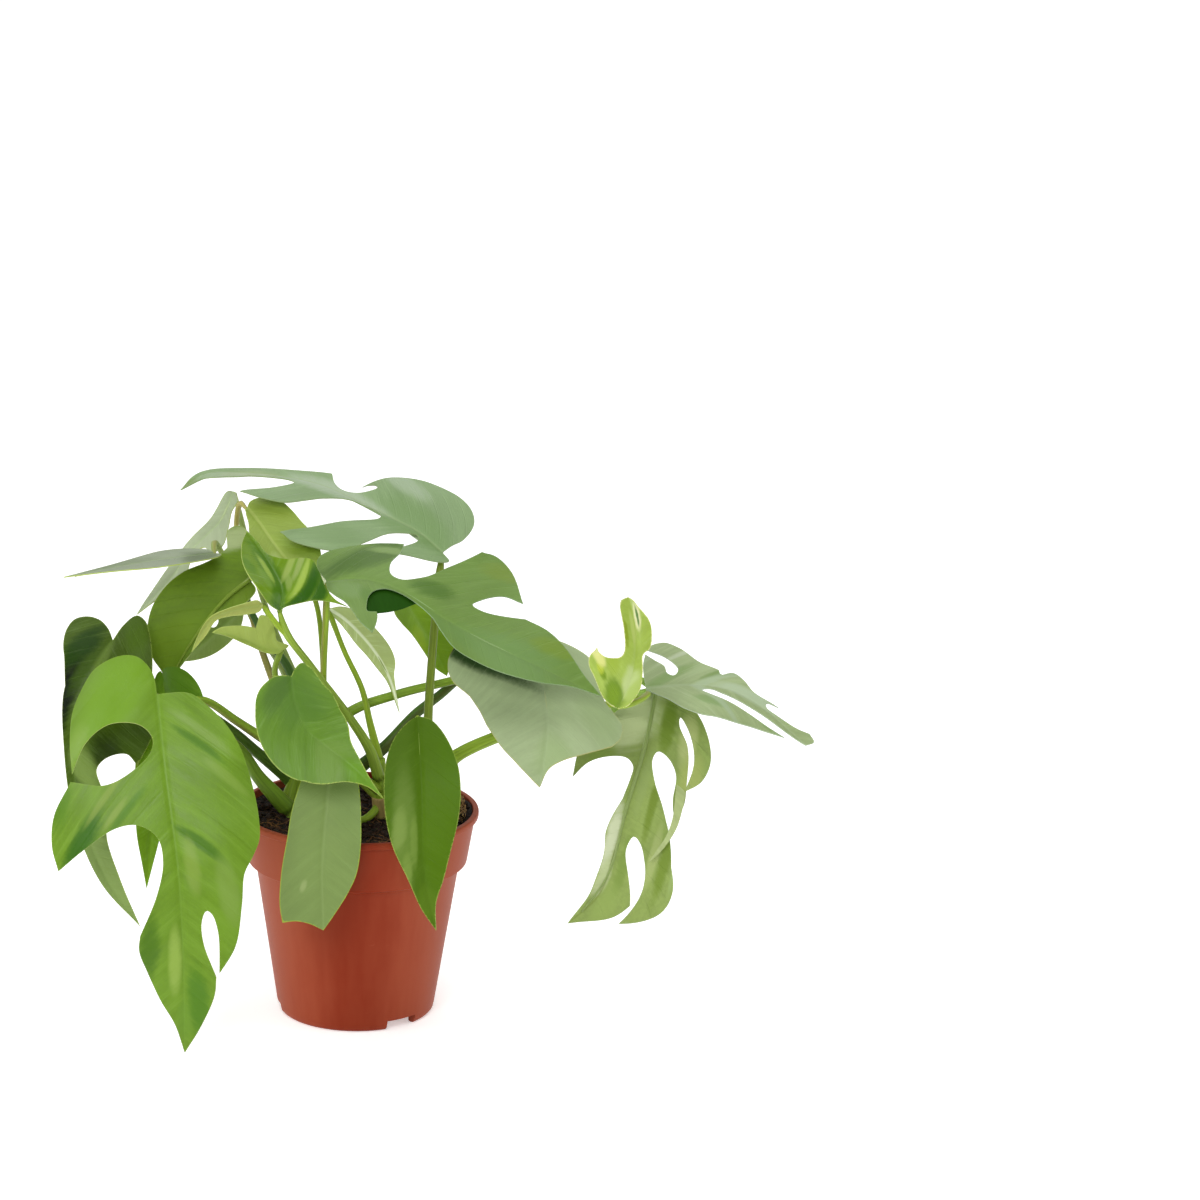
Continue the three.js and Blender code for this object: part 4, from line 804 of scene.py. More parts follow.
RIB_STOPS = [0, 0.25, 0.5, 0.75, 0.93]  # shares of the length at which the midrib's underside is placed
RIB_BASE = 1.3  # radius
RIB_TIP = 0.35

# ---------------------------------------------------------------- stems
# Radii at the foot and the tip; knuckles are the shares of the length at which a stem is swollen.
STEMS = {
    "stem_left": {
        "path": [[-35, 2, 60], [-35, 2, 97], [-34, 8, 106], [-31, 13, 117], [-29, 14, 126], [-30, 15, 158]],
        "foot": 5.0,
        "tip": 2.8,
        "knuckles": [0.5, 0.72, 0.88],
    },
    "stem_centre": {
        "path": [[13, 2, 60], [12, 2, 94], [11, 1, 112], [10, 0, 130]],
        "foot": 4.4,
        "tip": 3.0,
        "knuckles": [0.62, 0.8],
    },
    "stem_right": {
        "path": [[31, 3, 60], [32, 3, 94], [37, 1, 120], [48, -4, 133], [67, -8, 144], [90, -11, 153],
            [114, -13, 161]],
        "foot": 4.2,
        "tip": 2.4,
        "knuckles": [0.3, 0.5, 0.74, 0.9],
    },
    "stem_back": {
        "path": [[-15, 32, 60], [-16, 32, 96], [-17, 33, 126]],
        "foot": 4.0,
        "tip": 2.6,
        "knuckles": [0.6, 0.85],
    },
}
STEM_FEET = [stem["path"][1][:2] for stem in STEMS.values()]  # where each one leaves the soil


# ---------------------------------------------------------------- mesh helpers
OUTLINE_STEP = 1.3
CELL = 2.6
BLADE_THICKNESS = 0.55
RIB_LINES = (-1.7, -0.7, 0.0, 0.7, 1.7)  # extra cuts beside the midrib, mm across
RIB_LINES_CLEAR = 0.4  # no other cut comes as near to them as this
CUT_SNAP = 0.02  # a cut that passes this near to a corner goes through it
SHORTEST = 0.12  # corners nearer to each other than this are merged
SEAM = 1e-4  # the same where a tube closes on itself
VEIN_BEND = 0.005  # how a side vein curls towards the tip, per mm out from the midrib
VEIN_STAGGER = 1.5  # mm between the veins of the two halves
TILE = 100.0  # millimetres of leaf to one unit of its UV map
FACE, UNDER, EDGE, STALK, LAP = range(5)  # the order of a leaf's materials


def add_piece(name, mesh, skins):
    """Turns a bmesh in metres into a piece that rides on the part."""
    data = bpy.data.meshes.new(name)
    mesh.to_mesh(data)
    mesh.free()
    for skin in skins:
        data.materials.append(skin)
    piece = bpy.data.objects.new(name, data)
    bpy.context.scene.collection.objects.link(piece)
    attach(piece, "root")
    return piece


def to_metres(mesh):
    bmesh.ops.scale(mesh, vec=(MM, MM, MM), verts=mesh.verts)


def shade_smooth(mesh):
    for face in mesh.faces:
        face.smooth = True


def add_tube(mesh, path, radius_at, sides, rings, skin):
    """A closed tube along a path, rolled up from a grid; radius_at(share, angle) is in millimetres."""
    across = path.heading(0).orthogonal().normalized()
    frames = []
    for i in range(rings + 1):
        ahead = path.heading(i / rings)
        across = (across - ahead * across.dot(ahead)).normalized()
        frames.append((path.spot(i / rings), across, ahead.cross(across)))
    verts = bmesh.ops.create_grid(mesh, x_segments=rings, y_segments=sides, size=1)["verts"]
    uv = mesh.loops.layers.uv.verify()
    faces = {face for vert in verts for face in vert.link_faces}
    for face in faces:
        face.material_index = skin
        for loop in face.loops:
            x, y, _ = loop.vert.co
            loop[uv].uv = ((x + 1) / 2 * path.length / TILE, (y + 1) / 2)
    for vert in verts:
        share = (vert.co.x + 1) / 2
        angle = (vert.co.y + 1) * math.pi
        spot, side, up = frames[round(share * rings)]
        radius = radius_at(share, angle)
        vert.co = spot + side * (radius * math.cos(angle)) + up * (radius * math.sin(angle))
    bmesh.ops.remove_doubles(mesh, verts=verts, dist=SEAM)
    ends = [edge for face in faces for edge in face.edges if edge.is_boundary]
    for face in bmesh.ops.holes_fill(mesh, edges=list(set(ends)), sides=0)["faces"]:
        face.material_index = skin
        faces.add(face)
    bmesh.ops.recalc_face_normals(mesh, faces=list(faces))


# ---------------------------------------------------------------- leaf meshes
def margin(runs, length, side, start=(0, 0)):
    """Even points along the runs without the last one's end; side is -1 on the left and 1 on the right."""
    points = []
    for run in runs:
        path = Path([(share * length, side * across, 0) for share, across in [start, *run]])
        count = max(2, round(path.length / OUTLINE_STEP))
        points += [path.spot(i / count) for i in range(count)]
        start = run[-1]
    return points


def flat_leaf(outline):
    """The leaf drawn flat as one face and cut into cells, x along the midrib and y across it."""
    mesh = bmesh.new()
    mesh.faces.new([mesh.verts.new(point) for point in outline])
    for axis in range(2):
        values = [point[axis] for point in outline]
        first = math.ceil(min(values) / CELL)
        places = [i * CELL for i in range(first, math.floor(max(values) / CELL) + 1)]
        if axis == 1:
            places = [place for place in places if abs(place) > RIB_LINES[-1] + RIB_LINES_CLEAR]
            places += RIB_LINES
        for place in places:
            line = Vector((1 - axis, axis, 0))
            geometry = [*mesh.verts, *mesh.edges, *mesh.faces]
            bmesh.ops.bisect_plane(mesh, geom=geometry, dist=CUT_SNAP, plane_co=line * place, plane_no=line)
    bmesh.ops.remove_doubles(mesh, verts=mesh.verts, dist=SHORTEST)
    bmesh.ops.triangulate(mesh, faces=[face for face in mesh.faces if len(face.verts) > 4])
    return mesh


QUILT_IN = 9.0  # from the midrib or the margin to where the quilting is at its full height
WAVE_IN = 18.0  # from the midrib to where the slow wave is
GROOVE_DEPTH = 0.35
GROOVE_HALF = 1.2


def swell(along, across, inset, length, look):
    """How far the blade stands off its smooth surface: quilting, a slow wave and the midrib's groove."""
    reach = abs(across)
    start = along - look["slant"] * reach - VEIN_BEND * reach**2 + (VEIN_STAGGER if across < 0 else 0)
    uneven = 0.6 + noise.noise(Vector((start * 0.09, reach * 0.02, length)))
    quilt = math.cos(2 * math.pi * start / look["spacing"]) * min(reach / QUILT_IN, 1) * uneven
    fade = min(max(1.1 - along / length, 0) * 3, 1)
    inner = min(inset / QUILT_IN, 1)
    wave = noise.noise(Vector((along * 0.03, across * 0.045, length))) * min(reach / WAVE_IN, 1)
    groove = math.exp(-((across / GROOVE_HALF) ** 2))
    return look["relief"] * quilt * fade * inner + look["wave"] * wave - GROOVE_DEPTH * groove * fade


def rim_of(points):
    """Nearest-point lookup for the distance to a leaf's margin."""
    rim = kdtree.KDTree(len(points))
    for i, point in enumerate(points):
        rim.insert(point, i)
    rim.balance()
    return rim


def add_blade(mesh, blade, outline, look, skins=(FACE, UNDER, EDGE), rise=(0, 1, 0)):
    """Makes the outline a thin blade on its surface; it may lift off between two shares of the midrib."""
    rim = rim_of(outline)
    flat = flat_leaf(outline)
    under = flat.faces[:]
    made = bmesh.ops.extrude_face_region(flat, geom=under, use_keep_orig=True)["geom"]
    top = {part for part in made if isinstance(part, bmesh.types.BMFace)}
    for part in made:
        if isinstance(part, bmesh.types.BMVert):
            part.co.z = BLADE_THICKNESS
    bmesh.ops.recalc_face_normals(flat, faces=flat.faces)
    uv = flat.loops.layers.uv.verify()
    inset = flat.verts.layers.float.new("inset")
    under = set(under)
    for face in flat.faces:
        side = 0 if face in top else 1 if face in under else 2
        face.material_index = skins[side]
        for loop in face.loops:
            loop[uv].uv = (loop.vert.co.x / TILE, loop.vert.co.y / TILE)
        if side == 2:
            for edge in face.edges:
                edge.smooth = len({vert.co.z > 0 for vert in edge.verts}) == 2
    start, full, height = rise
    for vert in flat.verts:
        along, across, level = vert.co
        vert[inset] = rim.find((along, across, 0))[2]
        level += swell(along, across, vert[inset], blade.length, look) - BLADE_THICKNESS / 2
        level += height * min(max((along / blade.length - start) / (full - start), 0), 1)
        vert.co = blade.place(along, across, level)
    add_mesh(mesh, flat)


def add_mesh(mesh, other):
    data = bpy.data.meshes.new("passing")
    other.to_mesh(data)
    other.free()
    mesh.from_mesh(data)
    bpy.data.meshes.remove(data)


RIB_SINK = 0.2  # how far the midrib's tube lies below the blade
RIB_SIDES = 8
RIB_RING = 3
STALK_SIDES = 14
STALK_RING = 2.5
KNEE_PLACE = 0.9  # share of the petiole's length at its swollen joint below the blade
KNEE_SPREAD = 0.05
KNEE_SWELL = 0.12
CHANNEL_DEPTH = 0.12  # of the furrow along the petiole, as a share of its radius
NECK_FROM = 0.93  # the petiole narrows from here on
NECK_SPAN = 0.07
NECK_LOSS = 0.4


def add_leaf(number, name, spec):
    look = {**HABIT, **spec["look"], "seed": number}
    blade = Blade(spec["rib"], spec["face"], spec["fold"], spec["arch"])
    mesh = bmesh.new()
    right = margin(spec["right"], blade.length, 1)
    left = margin(spec["left"], blade.length, -1)
    add_blade(mesh, blade, [*right, Vector((blade.length, 0, 0)), *reversed(left[1:])], look)
    if "lap" in spec:
        runs = spec["lap"]["runs"]
        lobe = margin(runs, blade.length, -1, runs[-1][-1])
        add_blade(mesh, blade, lobe, look, (LAP, LAP, LAP), spec["lap"]["rise"])

    def rib_radius(share, angle):
        return RIB_BASE + (RIB_TIP - RIB_BASE) * share

    under_rib = []
    for share in RIB_STOPS:
        spot, up, _ = blade.frame(share * blade.length)
        under_rib.append(spot - up * (rib_radius(share, 0) + RIB_SINK))
    add_tube(mesh, Path(under_rib), rib_radius, RIB_SIDES, round(blade.length / RIB_RING), UNDER)
    stalk = Path([*spec["petiole"], under_rib[0]])
    thick, thin = spec["stalk"]

    def stalk_radius(share, angle):
        knee = math.exp(-(((share - KNEE_PLACE) / KNEE_SPREAD) ** 2))
        channel = max(math.cos(angle), 0) ** 6
        neck = 1 - NECK_LOSS * max(share - NECK_FROM, 0) / NECK_SPAN
        radius = thin + (thick - thin) * (1 - share) ** 3
        return radius * (1 + KNEE_SWELL * knee) * (1 - CHANNEL_DEPTH * channel) * neck

    add_tube(mesh, stalk, stalk_radius, STALK_SIDES, round(stalk.length / STALK_RING), STALK)
    to_metres(mesh)
    shade_smooth(mesh)
    piece = add_piece(f"{name}_fine", mesh, leaf_skins(name, look))
    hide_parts(name)


# ---------------------------------------------------------------- materials
class Wire:
    """A node socket that adds Math nodes when it is used in an expression."""

    def __init__(self, finish, socket):
        self.finish = finish
        self.socket = socket

    def math(self, operation, *values):
        return self.finish.node("ShaderNodeMath", {"operation": operation}, dict(enumerate(values)))

    def __add__(self, other):
        return self.math("ADD", self, other)

    __radd__ = __add__

    def __sub__(self, other):
        return self.math("SUBTRACT", self, other)

    def __rsub__(self, other):
        return self.math("SUBTRACT", other, self)

    def __mul__(self, other):
        return self.math("MULTIPLY", self, other)

    __rmul__ = __mul__

    def __lt__(self, other):
        return self.math("LESS_THAN", self, other)

    def __abs__(self):
        return self.math("ABSOLUTE", self)

    def cosine(self):
        return self.math("COSINE", self)


class Finish:
    """A material under construction: one Principled surface and the nodes that feed it."""

    def __init__(self, name, **fixed):
        self.material = bpy.data.materials.new(name)
        self.material.use_nodes = True
        self.tree = self.material.node_tree
        self.skin = self.tree.nodes["Principled BSDF"]
        for socket, value in fixed.items():
            self.feed(self.skin, {socket.replace("_", " "): value})

    def feed(self, node, sockets):
        for key, value in sockets.items():
            if isinstance(value, Wire):
                self.tree.links.new(value.socket, node.inputs[key])
            else:
                node.inputs[key].default_value = value

    def node(self, kind, settings, sockets, out=0):
        node = self.tree.nodes.new(kind)
        for key, value in settings.items():
            setattr(node, key, value)
        self.feed(node, sockets)
        return Wire(self, node.outputs[out])

    def mix(self, share, first, second):
        return self.node("ShaderNodeMix", {"data_type": "RGBA"}, {0: share, 6: first, 7: second}, 2)

    def step(self, value, low, high):
        edges = {"Value": value, "From Min": low, "From Max": high}
        return self.node("ShaderNodeMapRange", {"interpolation_type": "SMOOTHSTEP"}, edges)

    def grain(self, vector, scale, detail=2.0, rough=0.5):
        sockets = {"Vector": vector, "Scale": scale, "Detail": detail, "Roughness": rough}
        return self.node("ShaderNodeTexNoise", {}, sockets)

    def vector(self, x, y, z=0.0):
        return self.node("ShaderNodeCombineXYZ", {}, {0: x, 1: y, 2: z})

    def place(self):
        """Object coordinates, in metres."""
        return self.node("ShaderNodeTexCoord", {}, {}, "Object")

    def parts(self, vector):
        split = self.tree.nodes.new("ShaderNodeSeparateXYZ")
        self.feed(split, {0: vector})
        return [Wire(self, socket) for socket in split.outputs]

    def on_blade(self):
        """Millimetres along and across the leaf."""
        along, across, _ = self.parts(self.node("ShaderNodeUVMap", {}, {}))
        return along * TILE, across * TILE

    def bump(self, height, depth, strength=1.0):
        sockets = {"Height": height, "Distance": depth, "Strength": strength}
        return self.node("ShaderNodeBump", {}, sockets)

    def done(self, **sockets):
        self.feed(self.skin, {key.replace("_", " "): value for key, value in sockets.items()})
        return self.material


def tone(code, darker=1.0):
    """A colour from its six-figure code, as the shader wants it."""
    shares = [int(code[i : i + 2], 16) / 255 for i in (1, 3, 5)]
    return (*[darker * (s / 12.92 if s < 0.04045 else ((s + 0.055) / 1.055) ** 2.4) for s in shares], 1)


class LeafGrain:
    """What the two sides of a blade share: where a spot lies, the streaks, the cloudiness and the veins."""

    def __init__(self, finish, look):
        self.along, self.across = finish.on_blade()
        reach = abs(self.across)
        left = self.across < 0
        self.start = self.along - reach * look["slant"] - reach * reach * VEIN_BEND + left * VEIN_STAGGER
        self.counter = self.along + reach * look["slant"]
        side = left * 3 + look["seed"]
        self.streak = finish.grain(finish.vector(self.start * 0.22, reach * 0.035, side), 1.0, 4.0, 0.6)
        self.hair = finish.grain(finish.vector(self.start * 1.6, reach * 0.12, side), 1.0, 3.0, 0.6)
        self.cloud = finish.grain(finish.vector(self.along * 0.03, self.across * 0.04, side), 1.0, 3.0)
        self.mottle = finish.grain(finish.vector(self.along * 0.5, self.across * 0.5, side), 1.0, 4.0, 0.7)
        quilt = (self.start * (2 * math.pi / look["spacing"])).cosine()
        crease = finish.step(quilt * -1 + (self.hair - 0.5) * 0.2, 0.93, 1.02)
        self.vein = crease * finish.step(reach, 0.5, 5.0)
        self.rib = 1 - finish.step(reach + self.along * 0.004, 0.45, 1.25)
        inset = finish.node("ShaderNodeAttribute", {"attribute_name": "inset"}, {}, "Fac")
        self.rim = 1 - finish.step(inset + (self.mottle - 0.5) * 0.8, 0.15, 0.6)


def add_patches(finish, colour, lean, across, wobble, patches):
    """Soft-edged areas of another colour, most of them painted highlights, sheen and shade. Each leans with
    the lines on which lean stays the same.
    """
    for at, over, half_long, half_wide, code, strength in patches:
        x = (lean - at) * (1 / half_long)
        y = (across - over) * (1 / half_wide)
        inside = 1 - finish.step(x * x + y * y + wobble, 0.1, 1.4)
        colour = finish.mix(inside * strength, colour, tone(code))
    return colour


def leaf_face(name, look):
    finish = Finish(f"{name}_face", IOR=1.45, Specular_IOR_Level=look["shine"])
    leaf = LeafGrain(finish, look)
    blend = leaf.streak * 0.4 + leaf.cloud * 0.35 + leaf.mottle * 0.15 + leaf.hair * 0.1
    darkest = tone(look["face"], 1 - look["contrast"])
    lightest = tone(look["face"], 1 + look["contrast"])
    colour = finish.mix(finish.step(blend, 0.36, 0.64), darkest, lightest)
    # pale streaks: painted sheen on most leaves, their own pale streaks on the variegated ones
    sheen_and_pale_streaks = finish.step(leaf.hair * 0.45 + leaf.streak * 0.55, 0.5, 0.72)
    colour = finish.mix(sheen_and_pale_streaks * look["sheen_and_pale_streaks"], colour, tone(look["pale"]))
    wobble = (leaf.streak - 0.5) * 1.2 + (leaf.mottle - 0.5) * 0.5
    # patches: painted highlights, sheen and shade, and some of the leaf's own tints
    colour = add_patches(finish, colour, leaf.start, leaf.across, wobble, look["patches"])
    # shadow rows: painted cast shadows, with crisper edges
    crisp = (leaf.mottle - 0.5) * 0.6
    colour = add_patches(finish, colour, leaf.counter, leaf.across, crisp, look["shadow"])
    colour = finish.mix(leaf.vein * look["veins"], colour, tone(look["vein"]))
    colour = finish.mix(leaf.rib * look["midrib"], colour, tone(look["vein"]))
    colour = finish.mix(leaf.rim * look["rim"], colour, tone(look["edge"]))
    height = leaf.hair * 0.4 + leaf.mottle * 0.3 - leaf.vein * 0.3
    return finish.done(
        Base_Color=colour,
        Roughness=look["gloss"] + (leaf.streak - 0.5) * 0.3 + (leaf.mottle - 0.5) * 0.12,
        Normal=finish.bump(height, 0.5 * MM, 0.5),
    )


def leaf_under(name, look):
    finish = Finish(f"{name}_under", IOR=1.38, Specular_IOR_Level=0.3)
    leaf = LeafGrain(finish, look)
    blend = finish.step(leaf.streak * 0.35 + leaf.cloud * 0.35 + leaf.mottle * 0.3, 0.38, 0.62)
    colour = finish.mix(blend, tone(look["under"], 0.87), tone(look["under"], 1.13))
    wobble = (leaf.streak - 0.5) * 1.4 + (leaf.mottle - 0.5) * 0.5
    # under patches: painted light, as parts lightened for the shade they lie in and pale bands of light
    # shining through, and some of the leaf's own tints
    colour = add_patches(finish, colour, leaf.start, leaf.across, wobble, look["under_patches"])
    colour = finish.mix(leaf.vein * look["veins"], colour, tone(look["under"], 0.75))
    colour = finish.mix(leaf.rib * look["midrib"] * 0.6, colour, tone(look["vein"]))
    colour = finish.mix(leaf.rim * look["rim"], colour, tone(look["edge"]))
    height = leaf.hair * 0.4 + leaf.mottle * 0.3 + leaf.vein * 0.4
    return finish.done(
        Base_Color=colour,
        Roughness=0.52 + (leaf.streak - 0.5) * 0.2,
        Normal=finish.bump(height, 0.5 * MM, 0.6),
    )


def lap_skin(name, look):
    """A lobe curled over, streaked along its length: on one leaf painted dark for the shade it lies in, on
    another paler as its own underside.
    """
    finish = Finish(f"{name}_lap", Roughness=0.6, Specular_IOR_Level=0.05)
    streak = LeafGrain(finish, look).streak
    return finish.done(Base_Color=finish.mix(streak, tone(look["lap"], 0.7), tone(look["lap"], 1.3)))


def stalk_skin(name, green, blush):
    """Petiole or stem: fine lengthwise lines, and a slight flush along one side."""
    finish = Finish(name, IOR=1.45, Specular_IOR_Level=0.2)
    along, round_share, _ = finish.parts(finish.node("ShaderNodeUVMap", {}, {}))
    line = finish.grain(finish.vector(along * 2.0, round_share * 9.0), 2.0, 3.0, 0.6)
    patch = finish.grain(finish.vector(along * 4.0, round_share * 2.0), 1.0, 3.0)
    colour = finish.mix(finish.step(line, 0.35, 0.65), tone(green, 0.8), tone(green, 1.15))
    turned = (round_share * (2 * math.pi)).cosine()
    colour = finish.mix(finish.step(turned + patch * 0.8, 0.9, 1.6) * 0.7, colour, tone(blush))
    return finish.done(
        Base_Color=colour,
        Roughness=0.42 + (line - 0.5) * 0.2,
        Normal=finish.bump(line, 0.3 * MM, 0.5),
    )


def edge_skin(name, look):
    finish = Finish(f"{name}_edge", Roughness=0.5)
    patch = finish.grain(finish.place(), 60.0)
    return finish.done(Base_Color=finish.mix(patch, tone(look["edge"], 0.85), tone(look["edge"], 1.1)))


def leaf_skins(name, look):
    skins = [
        leaf_face(name, look),
        leaf_under(name, look),
        edge_skin(name, look),
        stalk_skin(f"{name}_stalk", look["stalk"], look["blush"]),
    ]
    return [*skins, lap_skin(name, look)] if "lap" in look else skins


def pot_skin():
    finish = Finish("terracotta_plastic", IOR=1.47, Specular_IOR_Level=0.08)
    place = finish.place()
    x, y, z = finish.parts(place)
    cloud = finish.grain(place, 18.0, 4.0, 0.6)
    fine = finish.grain(place, 900.0, 3.0, 0.6)
    drag = finish.grain(finish.vector(x * 160.0, y * 160.0, z * 9.0), 1.0, 3.0)
    # painted light: the pot's left and right sides lighter, its middle darker, as the side lamps light them
    side = finish.step(abs(x) + (drag - 0.5) * 0.01, 0.002, 0.042)
    colour = finish.mix(side, tone("#7c2912"), tone("#97472e"))
    colour = finish.mix(finish.step(cloud * 0.6 + drag * 0.4, 0.35, 0.65) * 0.12, colour, tone("#a4583c"))
    scuff = finish.grain(finish.vector(x * 40.0, y * 40.0, z * 140.0), 1.0, 6.0, 0.7)
    colour = finish.mix(finish.step(scuff, 0.66, 0.78) * 0.25, colour, tone("#b5705a"))
    return finish.done(
        Base_Color=colour,
        Roughness=0.46 + (cloud - 0.5) * 0.12 + (fine - 0.5) * 0.1,
        Normal=finish.bump(fine * 0.3 + drag * 0.3, 0.2 * MM, 0.5),
    )


def soil_skin(name, dark, light, size):
    finish = Finish(name, IOR=1.35)
    place = finish.place()
    clump = finish.grain(place, size, 5.0, 0.65)
    fleck = finish.grain(place, size * 7, 2.0)
    colour = finish.mix(finish.step(clump, 0.35, 0.7), tone(dark), tone(light))
    colour = finish.mix(finish.step(fleck, 0.62, 0.72) * 0.5, colour, tone("#7a5233"))
    return finish.done(
        Base_Color=colour,
        Roughness=0.9 - fleck * 0.15,
        Normal=finish.bump(clump + fleck * 0.5, 1.5 * MM),
    )


# ---------------------------------------------------------------- stem pieces
STEM_SIDES = 20
STEM_RING = 1.5
KNUCKLE_SWELL = 0.45
KNUCKLE_SPREAD = 0.02  # share of the stem's length


def add_stem(name, path, foot, tip, knuckles):
    curve = Path(path)

    def radius(share, angle):
        knuckle = sum(math.exp(-(((share - place) / KNUCKLE_SPREAD) ** 2)) for place in knuckles)
        return foot + (tip - foot) * share + KNUCKLE_SWELL * knuckle

    mesh = bmesh.new()
    add_tube(mesh, curve, radius, STEM_SIDES, round(curve.length / STEM_RING), 0)
    to_metres(mesh)
    shade_smooth(mesh)
    piece = add_piece(f"{name}_fine", mesh, [stalk_skin(name, "#7f9a2c", "#8a7c42")])
    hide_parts(name)


SHEATH = [(11.8, 1.6, 100), (11.2, 1.1, 105), (10.6, 0.8, 110)]
SHEATH_RADIUS = 4.7
SHEATH_TAPER = 0.6
SHEATH_PLEAT = 0.3
SHEATH_PLEATS = 3


def add_sheath():
    """The dry, papery sheath round the foot of the middle stem."""
    def radius(share, angle):
        return SHEATH_RADIUS - SHEATH_TAPER * share + SHEATH_PLEAT * math.cos(angle * SHEATH_PLEATS + 1)

    mesh = bmesh.new()
    add_tube(mesh, Path(SHEATH), radius, 18, 12, 0)
    to_metres(mesh)
    shade_smooth(mesh)
    add_piece("stem_sheath", mesh, [stalk_skin("dry_sheath", "#a08a54", "#5e3c22")])


# ---------------------------------------------------------------- pot
POT_HEIGHT = 105
FLOOR_UNDER = 5.5
POT_OUTSIDE = [
    # the pad in the middle, the raised floor, the foot ring
    (0, 0), (9, 0), (9.4, 0.4), (9.4, FLOOR_UNDER), (34, FLOOR_UNDER), (34, 0.5), (34.5, 0), (36.2, 0),
    (38.0, 0.6), (39, 1.8), (39.5, 4),
    # the body and the step out to the band
    (50.6, 76.4), (50.9, 77), (54.1, 78.5), (54.5, 78.8), (54.65, 79.4),
    # the band and the rolled lip
    (58.2, 101.3), (58.5, 101.6), (59.5, 101.7), (59.9, 102), (60, 102.6), (60, 104), (59.8, 104.6),
    (59.4, 104.9), (58.9, POT_HEIGHT),
]
POT_INSIDE = [(57.5, POT_HEIGHT), (57.1, 104.7), (53.4, 79), (49.4, 77), (38.3, 6.7), (0, 6.7)]
POT_STEPS = 180
POT_CRISP = 35  # degrees at which an edge stays sharp
DRAIN_HOLES = 6
DRAIN_CIRCLE = 21.0
DRAIN_RADIUS = 3.6
DRAIN_DEPTH = 6
DRAIN_STEPS = 40
NOTCH_TURNS = [math.radians(-54 + 120 * i) for i in range(3)]
NOTCH_SIZE = (22, 17.1, 11)
NOTCH_PLACE = (39.5, 0, -0.3)


def scaled(size):
    return Matrix.Diagonal((*[length * MM for length in size], 1))


def moved(place):
    return Matrix.Translation([distance * MM for distance in place])


def add_pot():
    mesh = bmesh.new()
    points = [mesh.verts.new((r * MM, 0, z * MM)) for r, z in POT_OUTSIDE + POT_INSIDE]
    edges = [mesh.edges.new(pair) for pair in zip(points, points[1:])]
    round_once = {"axis": (0, 0, 1), "angle": 2 * math.pi, "steps": POT_STEPS, "use_merge": True}
    bmesh.ops.spin(mesh, geom=[*points, *edges], **round_once)
    bmesh.ops.remove_doubles(mesh, verts=mesh.verts, dist=1e-6)
    bmesh.ops.recalc_face_normals(mesh, faces=mesh.faces)
    cutters = bmesh.new()
    radius = DRAIN_RADIUS * MM
    for i in range(DRAIN_HOLES):
        turn = Matrix.Rotation(i * 2 * math.pi / DRAIN_HOLES, 4, "Z")
        place = turn @ moved((DRAIN_CIRCLE, 0, FLOOR_UNDER))
        bmesh.ops.create_cone(
            cutters, cap_ends=True, segments=DRAIN_STEPS, radius1=radius, radius2=radius,
            depth=DRAIN_DEPTH * MM, matrix=place,
        )
    for turn in NOTCH_TURNS:
        place = Matrix.Rotation(turn, 4, "Z") @ moved(NOTCH_PLACE) @ scaled(NOTCH_SIZE)
        bmesh.ops.create_cube(cutters, size=1, matrix=place)
    mesh = carved(mesh, cutters)
    soften(mesh, POT_CRISP)
    piece = add_piece("pot_fine", mesh, [pot_skin()])
    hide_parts("pot")


def carved(mesh, cutters):
    """The mesh with the cutters taken out of it."""
    made = []
    for name, source in (("whole", mesh), ("cutters", cutters)):
        data = bpy.data.meshes.new(name)
        source.to_mesh(data)
        source.free()
        made.append(bpy.data.objects.new(name, data))
        bpy.context.scene.collection.objects.link(made[-1])
    whole, tools = made
    cut = whole.modifiers.new("cut", "BOOLEAN")
    cut.object = tools
    cut.operation = "DIFFERENCE"
    cut.solver = "EXACT"
    graph = bpy.context.evaluated_depsgraph_get()
    result = bmesh.new()
    result.from_object(whole, graph)
    for piece in made:
        bpy.data.meshes.remove(piece.data)
    return result


def soften(mesh, degrees):
    """Smooth shading, with edges sharper than this angle kept crisp."""
    shade_smooth(mesh)
    for edge in mesh.edges:
        edge.smooth = edge.calc_face_angle(0) < math.radians(degrees)


# ---------------------------------------------------------------- soil
SOIL_LEVEL = 101.5
SOIL_RADIUS = 56.2
SOIL_DISH = 3.0  # how far the middle lies below the rim
SOIL_GRID = 110
LUMPS = [(1.4, 0.09), (1.1, 0.3), (0.7, 0.9)]  # height, and waves per millimetre
LUMPS_END = 1.02  # share of the radius at which they have died away
LUMPS_FADE = 12
HEAP_PLACE = (47, 6)
HEAP_HEIGHT = 3.5
HEAP_SPREAD = 400  # squared distance from its middle at which about a third of its height is left
WALL_SLOPE = 0.144  # how far the pot's wall moves out over a rise of one
SOIL_BODY = [(53.0, 79.2), (49.0, 77.0), (38.0, 7.1)]  # radius and height, down the inside of the pot


def soil_height(x, y):
    far = math.hypot(x, y) / SOIL_RADIUS
    place = Vector((x, y, 0))
    lumps = sum(height * noise.noise(place * fineness) for height, fineness in LUMPS)
    heap = HEAP_HEIGHT * math.exp(-((x - HEAP_PLACE[0]) ** 2 + (y - HEAP_PLACE[1]) ** 2) / HEAP_SPREAD)
    return SOIL_LEVEL - SOIL_DISH * (1 - far**2) + heap + lumps * min(1, (LUMPS_END - far) * LUMPS_FADE)


